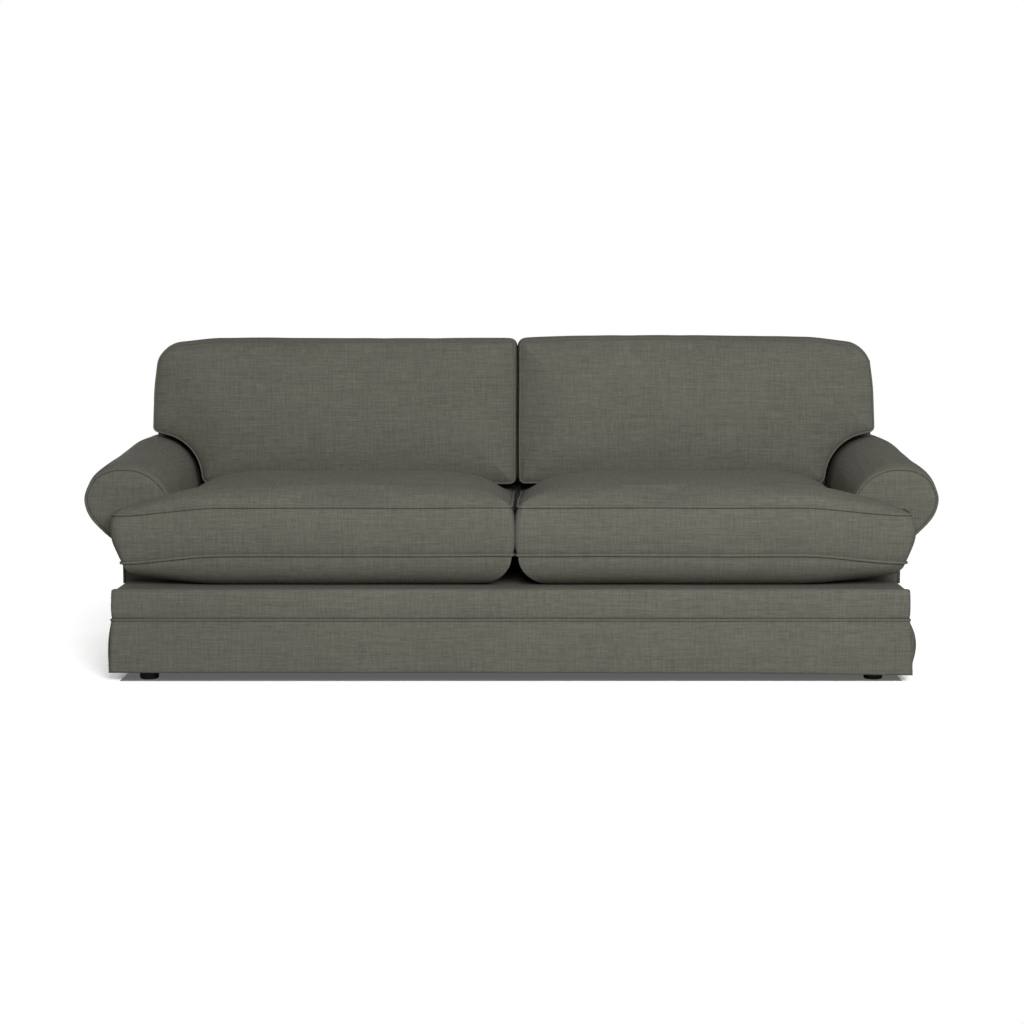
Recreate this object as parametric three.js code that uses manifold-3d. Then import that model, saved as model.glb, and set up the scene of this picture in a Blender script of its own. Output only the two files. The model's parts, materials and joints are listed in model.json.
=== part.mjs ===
// Two-seat English roll arm sofa with T-shaped seat cushions, a skirt and four short feet.
// Millimetres, +Z up, front towards -Y, origin on the floor under the middle of the sofa.
// Every soft piece is a cover with its own filling, over a timber frame.

import * as THREE from 'three';
import { mergeVertices } from 'three/addons/utils/BufferGeometryUtils.js';
import Module from 'manifold-3d';

const wasm = await Module();
wasm.setup();

// Overall sizes and clearances
const baseWidth = 2200;
const overallDepth = 960;
const touch = 0.3;
const cutOverrun = 20;

// Timber base frame
const railThickness = 28;
const railHeight = 130;
const sideRailRise = 10;
const cornerBlockLeg = 110;
const cornerBlockTip = 25;
const cornerBlockHeight = 60;
const centreBraceWidth = 60;
const centreBraceHeight = 40;
const seatBackRailHeight = 70;

// Feet
const footInsetX = 90;
const footInsetY = 76;
const footTopRadius = 33;
const footBottomRadius = 26;
const footEdgeRadius = 3;

// Springs and the fabric deck that they carry
const springCount = 5;
const springWidth = 50;
const springBends = 15;
const springWireRadius = 2;
const springDrop = 12;
const springLead = 18;
const deckTop = 260;
const deckThickness = 18;

// Upholstery on the base rails, the piping under it and the skirt
const bandThickness = 14;
const bandEdgeRadius = 9;
const bandDrop = 8;
const weltRadius = 3.5;
const weltFlats = 8;
const skirtTop = 171;
const skirtBottom = 28;
const skirtThickness = 4;
const skirtFlare = 5;
const skirtSideFlare = 13;
const skirtFlareTurns = 0.4;
const skirtWave = 1.5;
const skirtWaves = 5;
const dustCoverThickness = 2;
const dustCoverInset = 20;
const dustCoverNotch = 130;

// Arms: the roll is drawn round its own centre, climbs to the back and slims there
const armSetback = 187;
const armWidth = 143;
const rollInset = 10;
const rollRise = 203;
const rollRadius = 118;
const rollSteps = 22;
const underRollShare = 0.2;
const rollTaper = 0.2;
const rollSag = 0.35;
const armClimb = 57;
const armClimbFromBack = 340;
const armStopShares = [0, 0.25, 0.5, 0.75, 1];
const leastArmStep = 0.5;
const armCoverThickness = 5;
const armPanelThickness = 14;
const armBoardThickness = 30;
const armRailWidth = 80;
const armRailHeight = 26;

// Roll as shares of its radius from its centre, inner side first
const rollShares = [
  [-1.13, -0.2],
  [-1.01, 0.36],
  [-0.69, 0.75],
  [-0.29, 0.95],
  [0.08, 0.985],
  [0.44, 0.93],
  [0.77, 0.73],
  [0.963, 0.35],
  [0.95, 0.04],
  [0.81, -0.25],
  [0.52, -0.56],
  [0.29, -0.76],
  [0.13, -0.95],
];

// Back frame and its upholstery, which lean away from the seat
const backLeanDegrees = 8;
const backThickness = 215;
const backPadTop = 850;
const backPadThickness = 30;
const backPostDepth = 50;
const backTopRailHeight = 50;
const backCapThickness = 14;
const backCapRadius = 6;
const backCapUnderRadius = 3;

// Loose cushions, in numbers shared by all four
const cushionSplitX = 11;
const beadRadius = 4;
const boxingBulge = 8;
const cushionCoverThickness = 6;
const coreShare = 0.993;
const leastCornerRadius = 2;
const fineInsetShares = [0.16, 0.42, 0.78];
const plainInsetShares = [0.3, 0.78];
const towardsMiddleShares = [0.66, 0.33];
const zipHalfHeight = 4;
const zipLengthShare = 0.6;

// Seat cushions
const seatLowSeamRise = 92;
const seatBoxing = 135;
const seatLowSeamInset = 11;
const seatCrown = 50;
const seatBroadCrown = 10;
const seatCrownReach = 150;
const seatUndersideReach = 97;
const seatEarInset = 2;
const seatEarDroop = 22;
const seatEarUndersideShare = 0.5;
const seatTuck = 5;
const seatFrontCornerRadius = 26;
const seatInnerCornerRadius = 18;
const seatEarBackRadius = 30;
const seatThroatRadius = 20;
const restRise = 5;
const restWallGap = 27;
const restWallRun = 70;

// Back cushions
const backCushionDepth = 165.6;
const backCushionBoxing = 130;
const backCushionCrown = 45;
const backCushionCrownReach = 150;
const backCushionRise = 74;
const backEarInset = 22;
const backEarSpread = 6;
const backEarClearance = 19;
const backThroatClearance = 4;
const backThroatDrop = 35;
const backThroatRadius = 142;
const backFootClearance = 25;
const backTopCornerRadius = 60;
const backEarCornerRadius = 14;
const backFootCornerRadius = 20;
const backInnerCornerRadius = 14;

// Places worked out from the sizes above
const halfBase = baseWidth / 2;
const bandTop = deckTop - bandDrop;
const seatLowSeam = deckTop + seatLowSeamRise;
const seatHighSeam = seatLowSeam + seatBoxing;
const front = -overallDepth / 2;
const back = overallDepth / 2;
const railTop = deckTop - deckThickness - touch;
const railBottom = railTop - railHeight;
const sideRailTop = railTop + sideRailRise;
const armBottom = bandTop + touch;
const bandStep = skirtTop + 2 * weltRadius;
const railOuterX = halfBase - bandThickness - touch;
const railInnerX = railOuterX - railThickness;
const railOuterY = overallDepth / 2 - bandThickness - touch;
const railInnerY = railOuterY - railThickness;
const footX = halfBase - footInsetX;
const footY = overallDepth / 2 - footInsetY;
const armInner = halfBase - armWidth;
const armFront = front + armSetback;
const armCoverFront = armFront + 2 * weltRadius + touch;
const armBoardFront = armFront + armPanelThickness + touch;
const armPadFront = armBoardFront + armBoardThickness + touch;
const leanSlope = Math.tan(THREE.MathUtils.degToRad(backLeanDegrees));
const insideBackFoot = back - backThickness;
const seatBackRailFront = insideBackFoot + backPadThickness - railThickness;
const rollCentreX = halfBase - rollInset;
const rollCentreZ = deckTop + rollRise;
const armClimbEnd = back - armClimbFromBack;
const seatEarReach = halfBase - seatEarInset;
const backEarReach = halfBase - backEarInset;
const backEarBottom = rollCentreZ + rollRadius + armClimb + backEarClearance;
const backThroatZ = backEarBottom - backThroatDrop;
const backCushionTopSeam = backPadTop + backCushionRise;
const restHeight = seatHighSeam + restRise;
const backCushionFront = insideBackY(restHeight) - backCushionDepth;
const restEnd = backCushionFront - restWallGap;
const restStart = restEnd - restWallRun;

// Front face of the inside back at a height
function insideBackY(z) {
  return insideBackFoot + (z - deckTop) * leanSlope;
}

// Materials
const cloth = new THREE.MeshStandardMaterial({ color: 0x64635a, roughness: 0.95, metalness: 0 });
const liningCloth = new THREE.MeshStandardMaterial({ color: 0x1d1d1c, roughness: 0.95, metalness: 0 });
const filling = new THREE.MeshStandardMaterial({ color: 0xe9e4d4, roughness: 0.9, metalness: 0 });
const timber = new THREE.MeshStandardMaterial({ color: 0xb48a5a, roughness: 0.7, metalness: 0 });
const blackWood = new THREE.MeshStandardMaterial({ color: 0x141312, roughness: 0.45, metalness: 0 });
const springSteel = new THREE.MeshStandardMaterial({ color: 0x8f9092, roughness: 0.4, metalness: 0.9 });

const sofa = new THREE.Group();
sofa.name = 'english_roll_arm_sofa';

function place(name, geometry, material) {
  const mesh = new THREE.Mesh(geometry, material);
  mesh.name = name;
  sofa.add(mesh);
  return mesh;
}

// Left is the viewer's left, at -X
const sides = [
  { word: 'left', sign: -1 },
  { word: 'right', sign: 1 },
];

// Solids and booleans
function solidOf(geometry) {
  const bare = geometry.clone();
  bare.deleteAttribute('normal');
  bare.deleteAttribute('uv');
  const merged = mergeVertices(bare);
  return new wasm.Manifold(new wasm.Mesh({
    numProp: 3,
    vertProperties: new Float32Array(merged.attributes.position.array),
    triVerts: new Uint32Array(merged.index.array),
  }));
}

function geometryOf(solid) {
  const mesh = solid.getMesh();
  const geometry = new THREE.BufferGeometry();
  geometry.setAttribute('position', new THREE.BufferAttribute(mesh.vertProperties, 3));
  geometry.setIndex(new THREE.BufferAttribute(mesh.triVerts, 1));
  geometry.computeVertexNormals();
  return geometry;
}

function cut(geometry, ...cutters) {
  let solid = solidOf(geometry);
  for (const cutter of cutters) solid = solid.subtract(solidOf(cutter));
  return geometryOf(solid);
}

// Box between two corners given in any order
function boxBetween([xa, ya, za], [xb, yb, zb]) {
  const box = new THREE.BoxGeometry(Math.abs(xb - xa), Math.abs(yb - ya), Math.abs(zb - za));
  return box.translate((xa + xb) / 2, (ya + yb) / 2, (za + zb) / 2);
}

function extrudeShape(points, length) {
  const shape = new THREE.Shape(points.map(([a, b]) => new THREE.Vector2(a, b)));
  return new THREE.ExtrudeGeometry(shape, { depth: length, bevelEnabled: false, steps: 1 });
}

// Outline in X and Y, extruded upwards
function extrudeUp(points, bottom, top) {
  return extrudeShape(points, top - bottom).translate(0, 0, bottom);
}

// Outline in Y and Z, extruded along X
function extrudeAcross(points, xStart, xEnd) {
  const turn = new THREE.Matrix4().makeBasis(
    new THREE.Vector3(0, 1, 0), new THREE.Vector3(0, 0, 1), new THREE.Vector3(1, 0, 0));
  return extrudeShape(points, xEnd - xStart).applyMatrix4(turn).translate(xStart, 0, 0);
}

// Outline in X and Z, extruded along Y
function extrudeAlong(points, yStart, yEnd) {
  const turn = new THREE.Matrix4().makeBasis(
    new THREE.Vector3(1, 0, 0), new THREE.Vector3(0, 0, 1), new THREE.Vector3(0, -1, 0));
  return extrudeShape(points, yEnd - yStart).applyMatrix4(turn).translate(0, yEnd, 0);
}

// Cord of round section along a route, with a few flats
function cordAlong(route, radius, steps, flats) {
  const section = new THREE.Shape();
  for (let i = 0; i < flats; i++) {
    const angle = Math.PI * (2 * i + 1) / flats;
    const x = radius * Math.cos(angle);
    const y = radius * Math.sin(angle);
    if (i === 0) section.moveTo(x, y);
    else section.lineTo(x, y);
  }
  return new THREE.ExtrudeGeometry(section, { steps, extrudePath: route, bevelEnabled: false });
}

// Closed surface through rings of points with the same count. A cap is 'flat' or a middle point.
function loft(rings, startCap, endCap) {
  const count = rings[0].length;
  const points = rings.flat();
  const index = [];
  for (let r = 0; r + 1 < rings.length; r++) {
    for (let i = 0; i < count; i++) {
      const j = (i + 1) % count;
      const a = r * count + i;
      const b = r * count + j;
      index.push(a, b, b + count, a, b + count, a + count);
    }
  }
  addCap(points, index, 0, count, startCap, true);
  addCap(points, index, (rings.length - 1) * count, count, endCap, false);
  const geometry = new THREE.BufferGeometry();
  const numbers = points.flatMap((p) => [p.x, p.y, p.z]);
  geometry.setAttribute('position', new THREE.Float32BufferAttribute(numbers, 3));
  geometry.setIndex(signedVolume(points, index) < 0 ? turnedOver(index) : index);
  geometry.computeVertexNormals();
  return geometry;
}

function addCap(points, index, first, count, cap, reversed) {
  if (cap === 'flat') {
    for (const [a, b, c] of flatCap(points.slice(first, first + count))) {
      if (reversed) index.push(first + a, first + c, first + b);
      else index.push(first + a, first + b, first + c);
    }
    return;
  }
  const middle = points.push(cap) - 1;
  for (let i = 0; i < count; i++) {
    const j = (i + 1) % count;
    if (reversed) index.push(middle, first + j, first + i);
    else index.push(middle, first + i, first + j);
  }
}

// Triangles of a ring that stands upright, all turned the way that the ring runs
function flatCap(ring) {
  const size = new THREE.Box3().setFromPoints(ring).getSize(new THREE.Vector3());
  const outline = ring.map((p) => new THREE.Vector2(size.x > size.y ? p.x : p.y, p.z));
  const runs = Math.sign(THREE.ShapeUtils.area(outline));
  return THREE.ShapeUtils.triangulateShape(outline, []).map(([a, b, c]) => {
    const turns = Math.sign(THREE.ShapeUtils.area([outline[a], outline[b], outline[c]]));
    return turns === runs ? [a, b, c] : [a, c, b];
  });
}

function signedVolume(points, index) {
  let volume = 0;
  for (let i = 0; i < index.length; i += 3) {
    const [a, b, c] = [points[index[i]], points[index[i + 1]], points[index[i + 2]]];
    volume += a.dot(new THREE.Vector3().crossVectors(b, c)) / 6;
  }
  return volume;
}

function turnedOver(index) {
  const turned = [];
  for (let i = 0; i < index.length; i += 3) turned.push(index[i], index[i + 2], index[i + 1]);
  return turned;
}

// Base frame

function baseRails() {
  place('front_rail', boxBetween(
    [-railOuterX, -railOuterY, railBottom], [railOuterX, -railInnerY, railTop]), timber);
  place('rear_rail', boxBetween(
    [-railOuterX, railInnerY, railBottom], [railOuterX, railOuterY, railTop]), timber);
  for (const { word, sign } of sides) {
    place(`side_rail_${word}`, sideRail(sign, 0), timber);
  }
  place('seat_back_rail', boxBetween(
    [-railInnerX + touch, seatBackRailFront, railTop - seatBackRailHeight],
    [railInnerX - touch, seatBackRailFront + railThickness, railTop]), timber);
  place('centre_brace', boxBetween(
    [-centreBraceWidth / 2, -railInnerY + touch, railBottom],
    [centreBraceWidth / 2, railInnerY - touch, railBottom + centreBraceHeight]), timber);
}

function sideRail(sign, growth) {
  const endY = railInnerY - touch + growth;
  return boxBetween(
    [sign * (railInnerX - growth), -endY, railBottom - growth],
    [sign * (railOuterX + growth), endY, sideRailTop + growth]);
}

function cornerBlocksAndFeet() {
  const cornerX = railInnerX - touch;
  const cornerY = railInnerY - touch;
  const outline = [
    [cornerX, cornerY],
    [cornerX - cornerBlockLeg, cornerY],
    [cornerX - cornerBlockLeg, cornerY - cornerBlockTip],
    [cornerX - cornerBlockTip, cornerY - cornerBlockLeg],
    [cornerX, cornerY - cornerBlockLeg],
  ];
  for (const { word, sign } of sides) {
    for (const [end, endSign] of [['front', -1], ['rear', 1]]) {
      const turned = outline.map(([x, y]) => [sign * x, endSign * y]);
      const block = extrudeUp(turned, railBottom, railBottom + cornerBlockHeight);
      place(`corner_block_${end}_${word}`, block, timber);
      place(`foot_${end}_${word}`, foot().translate(sign * footX, endSign * footY, 0), blackWood);
    }
  }
}

// Tapered turned foot with an eased lower edge
function foot() {
  const top = railBottom - touch;
  const profile = [
    [0, 0],
    [footBottomRadius - footEdgeRadius, 0],
    [footBottomRadius, footEdgeRadius],
    [footTopRadius, top],
    [0, top],
  ];
  const turnedPoints = profile.map(([radius, height]) => new THREE.Vector2(radius, height));
  const footSides = 24;
  return new THREE.LatheGeometry(turnedPoints, footSides).rotateX(Math.PI / 2);
}

// Zigzag wire springs from the front rail to the seat's back rail
function springs() {
  const startY = -railInnerY + touch;
  const endY = seatBackRailFront - touch;
  const spacing = 2 * armInner / springCount;
  const wireFlats = 4;
  const wireStepsPerBend = 3;
  for (let n = 0; n < springCount; n++) {
    const middle = (n - (springCount - 1) / 2) * spacing;
    const z = railTop - springDrop;
    const bends = [];
    for (let bend = 0; bend < springBends; bend++) {
      const share = (2 * bend + 1) / (2 * springBends);
      const y = THREE.MathUtils.lerp(startY + springLead, endY - springLead, share);
      bends.push([(bend % 2 ? 1 : -1) * springWidth / 2, y]);
    }
    const stops = [
      [0, startY], [0, startY + springLead], ...bends, [0, endY - springLead], [0, endY],
    ];
    const route = new THREE.CatmullRomCurve3(stops.map(([x, y]) => new THREE.Vector3(middle + x, y, z)));
    const geometry = cordAlong(route, springWireRadius, wireStepsPerBend * springBends, wireFlats);
    place(`seat_spring_${n + 1}`, geometry, springSteel);
  }
}

// Deck under the seat cushions: between the arms, and in front of them out to the sides
function seatDeck() {
  const wing = railOuterX;
  const neck = armInner - touch;
  const frontY = front + bandThickness + touch;
  const neckY = armFront - touch;
  const rearY = seatBackRailFront + railThickness;
  const outline = [
    [-wing, frontY], [wing, frontY], [wing, neckY], [neck, neckY],
    [neck, rearY], [-neck, rearY], [-neck, neckY], [-wing, neckY],
  ];
  const slab = extrudeUp(outline, deckTop - deckThickness, deckTop);
  place('seat_deck', cut(slab, sideRail(-1, touch), sideRail(1, touch)), cloth);
}

function dustCover() {
  const x = halfBase - dustCoverInset;
  const y = overallDepth / 2 - dustCoverInset;
  const xNotch = halfBase - dustCoverNotch;
  const yNotch = overallDepth / 2 - dustCoverNotch;
  const quarter = [[x, -yNotch], [x, yNotch], [xNotch, yNotch], [xNotch, y]];
  const other = quarter.map(([px, py]) => [-px, -py]);
  const outline = [
    [xNotch, -y], [xNotch, -yNotch], ...quarter,
    [-xNotch, y], [-xNotch, yNotch], ...other,
  ];
  const top = railBottom - touch;
  place('dust_cover', extrudeUp(outline, top - dustCoverThickness, top), liningCloth);
}

// Upholstered bands on the rails, the piping and the skirt

// Section of a band, from its inner face at 0 to its outer face, with the step for the skirt
function bandSection(top) {
  const thin = bandThickness - skirtThickness - touch;
  const points = [[0, railBottom], [thin, railBottom], [thin, bandStep], [bandThickness, bandStep]];
  const arcSteps = 4;
  for (let i = 0; i <= arcSteps; i++) {
    const angle = Math.PI / 2 * i / arcSteps;
    points.push([
      bandThickness - bandEdgeRadius * (1 - Math.cos(angle)),
      top - bandEdgeRadius * (1 - Math.sin(angle)),
    ]);
  }
  points.push([0, top]);
  return points;
}

// Band across the whole width, with its lower ends stepped back for the side skirts and piping
function acrossBand(section) {
  const stepX = halfBase - skirtThickness - touch;
  const notches = [-1, 1].map((sign) => boxBetween(
    [sign * stepX, -overallDepth, railBottom - cutOverrun],
    [sign * (halfBase + cutOverrun), overallDepth, bandStep]));
  return cut(extrudeAcross(section, -halfBase, halfBase), ...notches);
}

function baseBands() {
  const frontSection = bandSection(bandTop).map(([out, z]) => [front + bandThickness - out, z]);
  place('base_front_band', acrossBand(frontSection), cloth);
  const endY = overallDepth / 2 - bandThickness - touch;
  for (const { word, sign } of sides) {
    const section = bandSection(bandTop).map(([out, z]) => [sign * (halfBase - bandThickness + out), z]);
    place(`base_band_${word}`, extrudeAlong(section, -endY, endY), cloth);
  }
}

function baseWelts() {
  const z = skirtTop + weltRadius;
  const out = weltRadius - skirtThickness;
  const cornerY = overallDepth / 2 - skirtThickness - touch;
  for (const [word, y] of [['front', front - out], ['rear', back + out]]) {
    const route = new THREE.LineCurve3(
      new THREE.Vector3(-halfBase, y, z), new THREE.Vector3(halfBase, y, z));
    place(`base_welt_${word}`, cordAlong(route, weltRadius - touch / 2, 1, weltFlats), cloth);
  }
  for (const { word, sign } of sides) {
    const x = sign * (halfBase + out);
    const route = new THREE.LineCurve3(
      new THREE.Vector3(x, -cornerY, z), new THREE.Vector3(x, cornerY, z));
    place(`base_welt_${word}`, cordAlong(route, weltRadius - touch / 2, 1, weltFlats), cloth);
  }
}

// Hanging panel: along runs its length, out is its outward direction, with slow waves and a flare
function skirtPanel(start, end, outward, flare) {
  const columns = 20;
  const rows = 4;
  const height = skirtTop - skirtBottom;
  const run = new THREE.Vector3().subVectors(end, start);
  const rings = [];
  for (let c = 0; c <= columns; c++) {
    const along = c / columns;
    const ring = [];
    for (let r = 0; r <= rows; r++) ring.push(pointAt(along, r / rows, 0));
    for (let r = rows; r >= 0; r--) ring.push(pointAt(along, r / rows, skirtThickness));
    rings.push(ring);
  }
  function pointAt(along, down, depth) {
    const wave = skirtWave * down * (1 - Math.cos(2 * Math.PI * skirtWaves * along));
    const out = flare * Math.sin(2 * Math.PI * skirtFlareTurns * down) + wave - depth;
    return start.clone().addScaledVector(run, along).addScaledVector(outward, out)
      .add(new THREE.Vector3(0, 0, -height * down));
  }
  return loft(rings, 'flat', 'flat');
}

function capPoint(ring) {
  const middle = new THREE.Vector3();
  for (const point of ring) middle.addScaledVector(point, 1 / ring.length);
  return middle;
}

function skirts() {
  const cornerY = overallDepth / 2 - skirtThickness - touch;
  for (const [word, sign] of [['front', -1], ['rear', 1]]) {
    const y = sign * overallDepth / 2;
    const geometry = skirtPanel(
      new THREE.Vector3(-halfBase, y, skirtTop), new THREE.Vector3(halfBase, y, skirtTop),
      new THREE.Vector3(0, sign, 0), skirtFlare);
    place(`skirt_${word}`, geometry, cloth);
  }
  for (const { word, sign } of sides) {
    const geometry = skirtPanel(
      new THREE.Vector3(sign * halfBase, -cornerY, skirtTop),
      new THREE.Vector3(sign * halfBase, cornerY, skirtTop),
      new THREE.Vector3(sign, 0, 0), skirtSideFlare);
    place(`skirt_${word}`, geometry, cloth);
  }
}

// Arms

// The inner side reaches from the roll's centre to the arm's inner wall
function rollPoints() {
  const innerRadius = (rollCentreX - armInner) / -rollShares[0][0];
  const curve = new THREE.SplineCurve(rollShares.map(([u, w]) => new THREE.Vector2(
    rollCentreX + (u < 0 ? innerRadius : rollRadius) * u, rollCentreZ + rollRadius * w)));
  return curve.getPoints(rollSteps);
}

const roll = rollPoints();

// Arm section at a share of the climb, moved inwards by inset, from the inner wall over the roll to
// the outer wall. The roll's outer side slims and lags behind as the arm climbs.
function armSection(share, inset, bottom) {
  const climb = armClimb * share;
  const lifted = roll.map((p) => {
    const out = Math.max(p.x - rollCentreX, 0);
    return new THREE.Vector2(p.x - out * rollTaper * share, p.y + climb * (1 - rollSag * out / rollRadius));
  });
  const wallStart = new THREE.Vector2(armInner, bottom);
  const wallEnd = new THREE.Vector2(halfBase, bottom);
  const underRoll = new THREE.Vector2(halfBase, lifted[rollSteps].y - rollRadius * underRollShare);
  return insetLine([wallStart, ...lifted, underRoll, wallEnd], inset);
}

// Open line moved to its right-hand side, with square ends
function insetLine(line, inset) {
  return line.map((point, i) => {
    const before = new THREE.Vector2().subVectors(point, line[Math.max(i - 1, 0)]);
    const after = new THREE.Vector2().subVectors(line[Math.min(i + 1, line.length - 1)], point);
    if (i === 0) before.copy(after);
    if (i === line.length - 1) after.copy(before);
    before.normalize();
    after.normalize();
    const turn = new THREE.Vector2(before.y + after.y, -before.x - after.x);
    return point.clone().addScaledVector(turn, inset / (1 + before.dot(after)));
  });
}

function climbShare(y) {
  return THREE.MathUtils.clamp((y - armFront) / (armClimbEnd - armFront), 0, 1);
}

// Arm body between two places along Y
function armBody(sign, inset, bottom, yStart, yEnd) {
  const stops = armStopShares.map((share) => THREE.MathUtils.lerp(armFront, armClimbEnd, share));
  const between = stops.filter((y) => y > yStart + leastArmStep && y < yEnd - leastArmStep);
  const stations = [yStart, ...between, yEnd];
  const rings = stations.map((y) => (
    armSection(climbShare(y), inset, bottom).map((p) => new THREE.Vector3(sign * p.x, y, p.y))));
  return loft(rings, 'flat', 'flat');
}

// Space of the back frame and its covers, wherever the arm passes it
function backSpace() {
  const low = railBottom;
  const high = backPadTop + cutOverrun;
  const outline = [
    [insideBackY(low) - touch, low],
    [back + cutOverrun, low],
    [back + cutOverrun, high],
    [insideBackY(high) - touch, high],
  ];
  return extrudeAcross(outline, -halfBase - touch, halfBase + touch);
}

// Timber rail through the roll, ending at the back's lean
function armRail(sign, growth, overrun) {
  const startY = armPadFront - overrun;
  const corners = [
    [-armRailWidth / 2 - growth, -armRailHeight / 2 - growth],
    [armRailWidth / 2 + growth, -armRailHeight / 2 - growth],
    [armRailWidth / 2 + growth, armRailHeight / 2 + growth],
    [-armRailWidth / 2 - growth, armRailHeight / 2 + growth],
  ];
  const middleX = halfBase - armRailWidth / 2;
  const ringAt = (yOf, y) => corners.map(([u, w]) => {
    const z = rollCentreZ + armClimb * climbShare(y) + w;
    return new THREE.Vector3(sign * (middleX + u), yOf(z), z);
  });
  const rings = [
    ringAt(() => startY, startY),
    ringAt(() => armClimbEnd, armClimbEnd),
    ringAt((z) => insideBackY(z) - touch + overrun, back),
  ];
  return loft(rings, 'flat', 'flat');
}

function arms() {
  const weltInset = 2 * weltRadius + touch;
  const padInset = armCoverThickness + touch;
  const coverEnd = back - touch;
  for (const { word, sign } of sides) {
    const cavity = armBody(
      sign, armCoverThickness, armBottom - cutOverrun,
      armCoverFront - cutOverrun, coverEnd - armCoverThickness);
    const cover = cut(armBody(sign, 0, armBottom, armCoverFront, coverEnd), cavity, backSpace());
    place(`arm_cover_${word}`, cover, cloth);
    const pad = cut(
      armBody(sign, padInset, armBottom, armPadFront, coverEnd - padInset),
      backSpace(), armRail(sign, touch, cutOverrun));
    place(`arm_pad_${word}`, pad, filling);
    place(`arm_rail_${word}`, armRail(sign, 0, 0), timber);
    place(`arm_front_board_${word}`,
      armBody(sign, padInset, armBottom, armBoardFront, armBoardFront + armBoardThickness), timber);
    place(`arm_front_panel_${word}`,
      armBody(sign, weltInset, armBottom, armFront, armFront + armPanelThickness), cloth);
    place(`arm_welt_${word}`, armWelt(sign), cloth);
  }
}

// Piping round the arm's front panel
function armWelt(sign) {
  const radius = weltRadius - touch / 2;
  const strands = [];
  for (let k = 0; k < weltFlats; k++) {
    const angle = 2 * Math.PI * k / weltFlats;
    const y = armFront + weltRadius + radius * Math.sin(angle);
    const line = armSection(0, weltRadius + radius * Math.cos(angle), armBottom + touch);
    strands.push(line.map((p) => new THREE.Vector3(sign * p.x, y, p.y)));
  }
  const rings = strands[0].map((_, i) => strands.map((strand) => strand[i]));
  return loft(rings, capPoint(rings[0]), capPoint(rings[rings.length - 1]));
}

// Back frame

// Leaning post or slab from the inside back's face: depth from that face, between two heights
function leaningOutline(depthStart, depthEnd, bottom, top) {
  return [
    [insideBackY(bottom) + depthStart, bottom],
    [insideBackY(bottom) + depthEnd, bottom],
    [insideBackY(top) + depthEnd, top],
    [insideBackY(top) + depthStart, top],
  ];
}

function backFrame() {
  const postStart = backPadThickness + touch;
  const postEnd = postStart + backPostDepth;
  const railBase = backPadTop - backTopRailHeight;
  const postOutline = leaningOutline(postStart, postEnd, sideRailTop + touch, railBase - touch);
  for (const { word, sign } of sides) {
    const [xStart, xEnd] = [sign * railOuterX, sign * railInnerX].sort((a, b) => a - b);
    place(`back_post_${word}`, extrudeAcross(postOutline, xStart, xEnd), timber);
  }
  const railOutline = leaningOutline(postStart, postEnd, railBase, backPadTop);
  place('back_top_rail', extrudeAcross(railOutline, -railOuterX, railOuterX), timber);
}

function backUpholstery() {
  const pad = leaningOutline(0, backPadThickness, deckTop + touch, backPadTop);
  place('inside_back_pad', extrudeAcross(pad, -halfBase, halfBase), cloth);

  const outside = bandSection(backPadTop).map(([out, z]) => [back - bandThickness + out, z]);
  place('outside_back_panel', acrossBand(outside), cloth);

  const sideBottom = armBottom;
  const sideStart = backPadThickness + touch;
  const sideEnd = back - bandThickness - touch;
  const sideOutline = [
    [insideBackY(sideBottom) + sideStart, sideBottom],
    [sideEnd, sideBottom],
    [sideEnd, backPadTop],
    [insideBackY(backPadTop) + sideStart, backPadTop],
  ];
  for (const { word, sign } of sides) {
    const edges = [sign * halfBase, sign * (halfBase - bandThickness)].sort((a, b) => a - b);
    place(`back_side_${word}`, extrudeAcross(sideOutline, ...edges), cloth);
  }

  const capBottom = backPadTop + touch;
  const capArcSteps = 3;
  const cap = roundedOutline([
    { x: insideBackY(capBottom), y: capBottom, radius: backCapUnderRadius },
    { x: back, y: capBottom, radius: backCapUnderRadius },
    { x: back, y: capBottom + backCapThickness, radius: backCapRadius },
    { x: insideBackY(capBottom), y: capBottom + backCapThickness, radius: backCapRadius },
  ], 0, capArcSteps);
  place('back_top_cap', extrudeAcross(cap.map((p) => [p.x, p.y]), -halfBase, halfBase), cloth);
}

// Cushions

// Outline with rounded corners, moved inwards by inset. Corners run anticlockwise, and along is
// the number of points added on the side that follows a corner. A hollow corner keeps its radius.
function roundedOutline(corners, inset, arcSteps) {
  const count = corners.length;
  const spots = corners.map(({ x, y }) => new THREE.Vector2(x, y));
  const directions = spots.map((spot, i) => (
    new THREE.Vector2().subVectors(spots[(i + 1) % count], spot).normalize()));
  const inwards = directions.map((d) => new THREE.Vector2(-d.y, d.x));
  const arcs = corners.map((corner, i) => {
    const h = (i + count - 1) % count;
    const [into, out] = [directions[h], directions[i]];
    const reach = inset / (1 + inwards[h].dot(inwards[i]));
    const tip = spots[i].clone().addScaledVector(inwards[h], reach).addScaledVector(inwards[i], reach);
    const turn = Math.atan2(into.cross(out), into.dot(out));
    const radius = turn < 0 ? corner.radius : Math.max(corner.radius - inset, leastCornerRadius);
    const start = tip.clone().addScaledVector(into, -radius * Math.tan(Math.abs(turn) / 2));
    const centre = start.clone().addScaledVector(inwards[h], Math.sign(turn) * radius);
    const points = [];
    for (let k = 0; k <= arcSteps; k++) {
      points.push(start.clone().rotateAround(centre, turn * k / arcSteps));
    }
    return points;
  });
  const outline = [];
  arcs.forEach((arc, i) => {
    outline.push(...arc);
    const next = arcs[(i + 1) % count][0];
    const along = corners[i].along ?? 0;
    for (let k = 1; k <= along; k++) outline.push(arc[arcSteps].clone().lerp(next, k / (along + 1)));
  });
  return outline;
}

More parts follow.
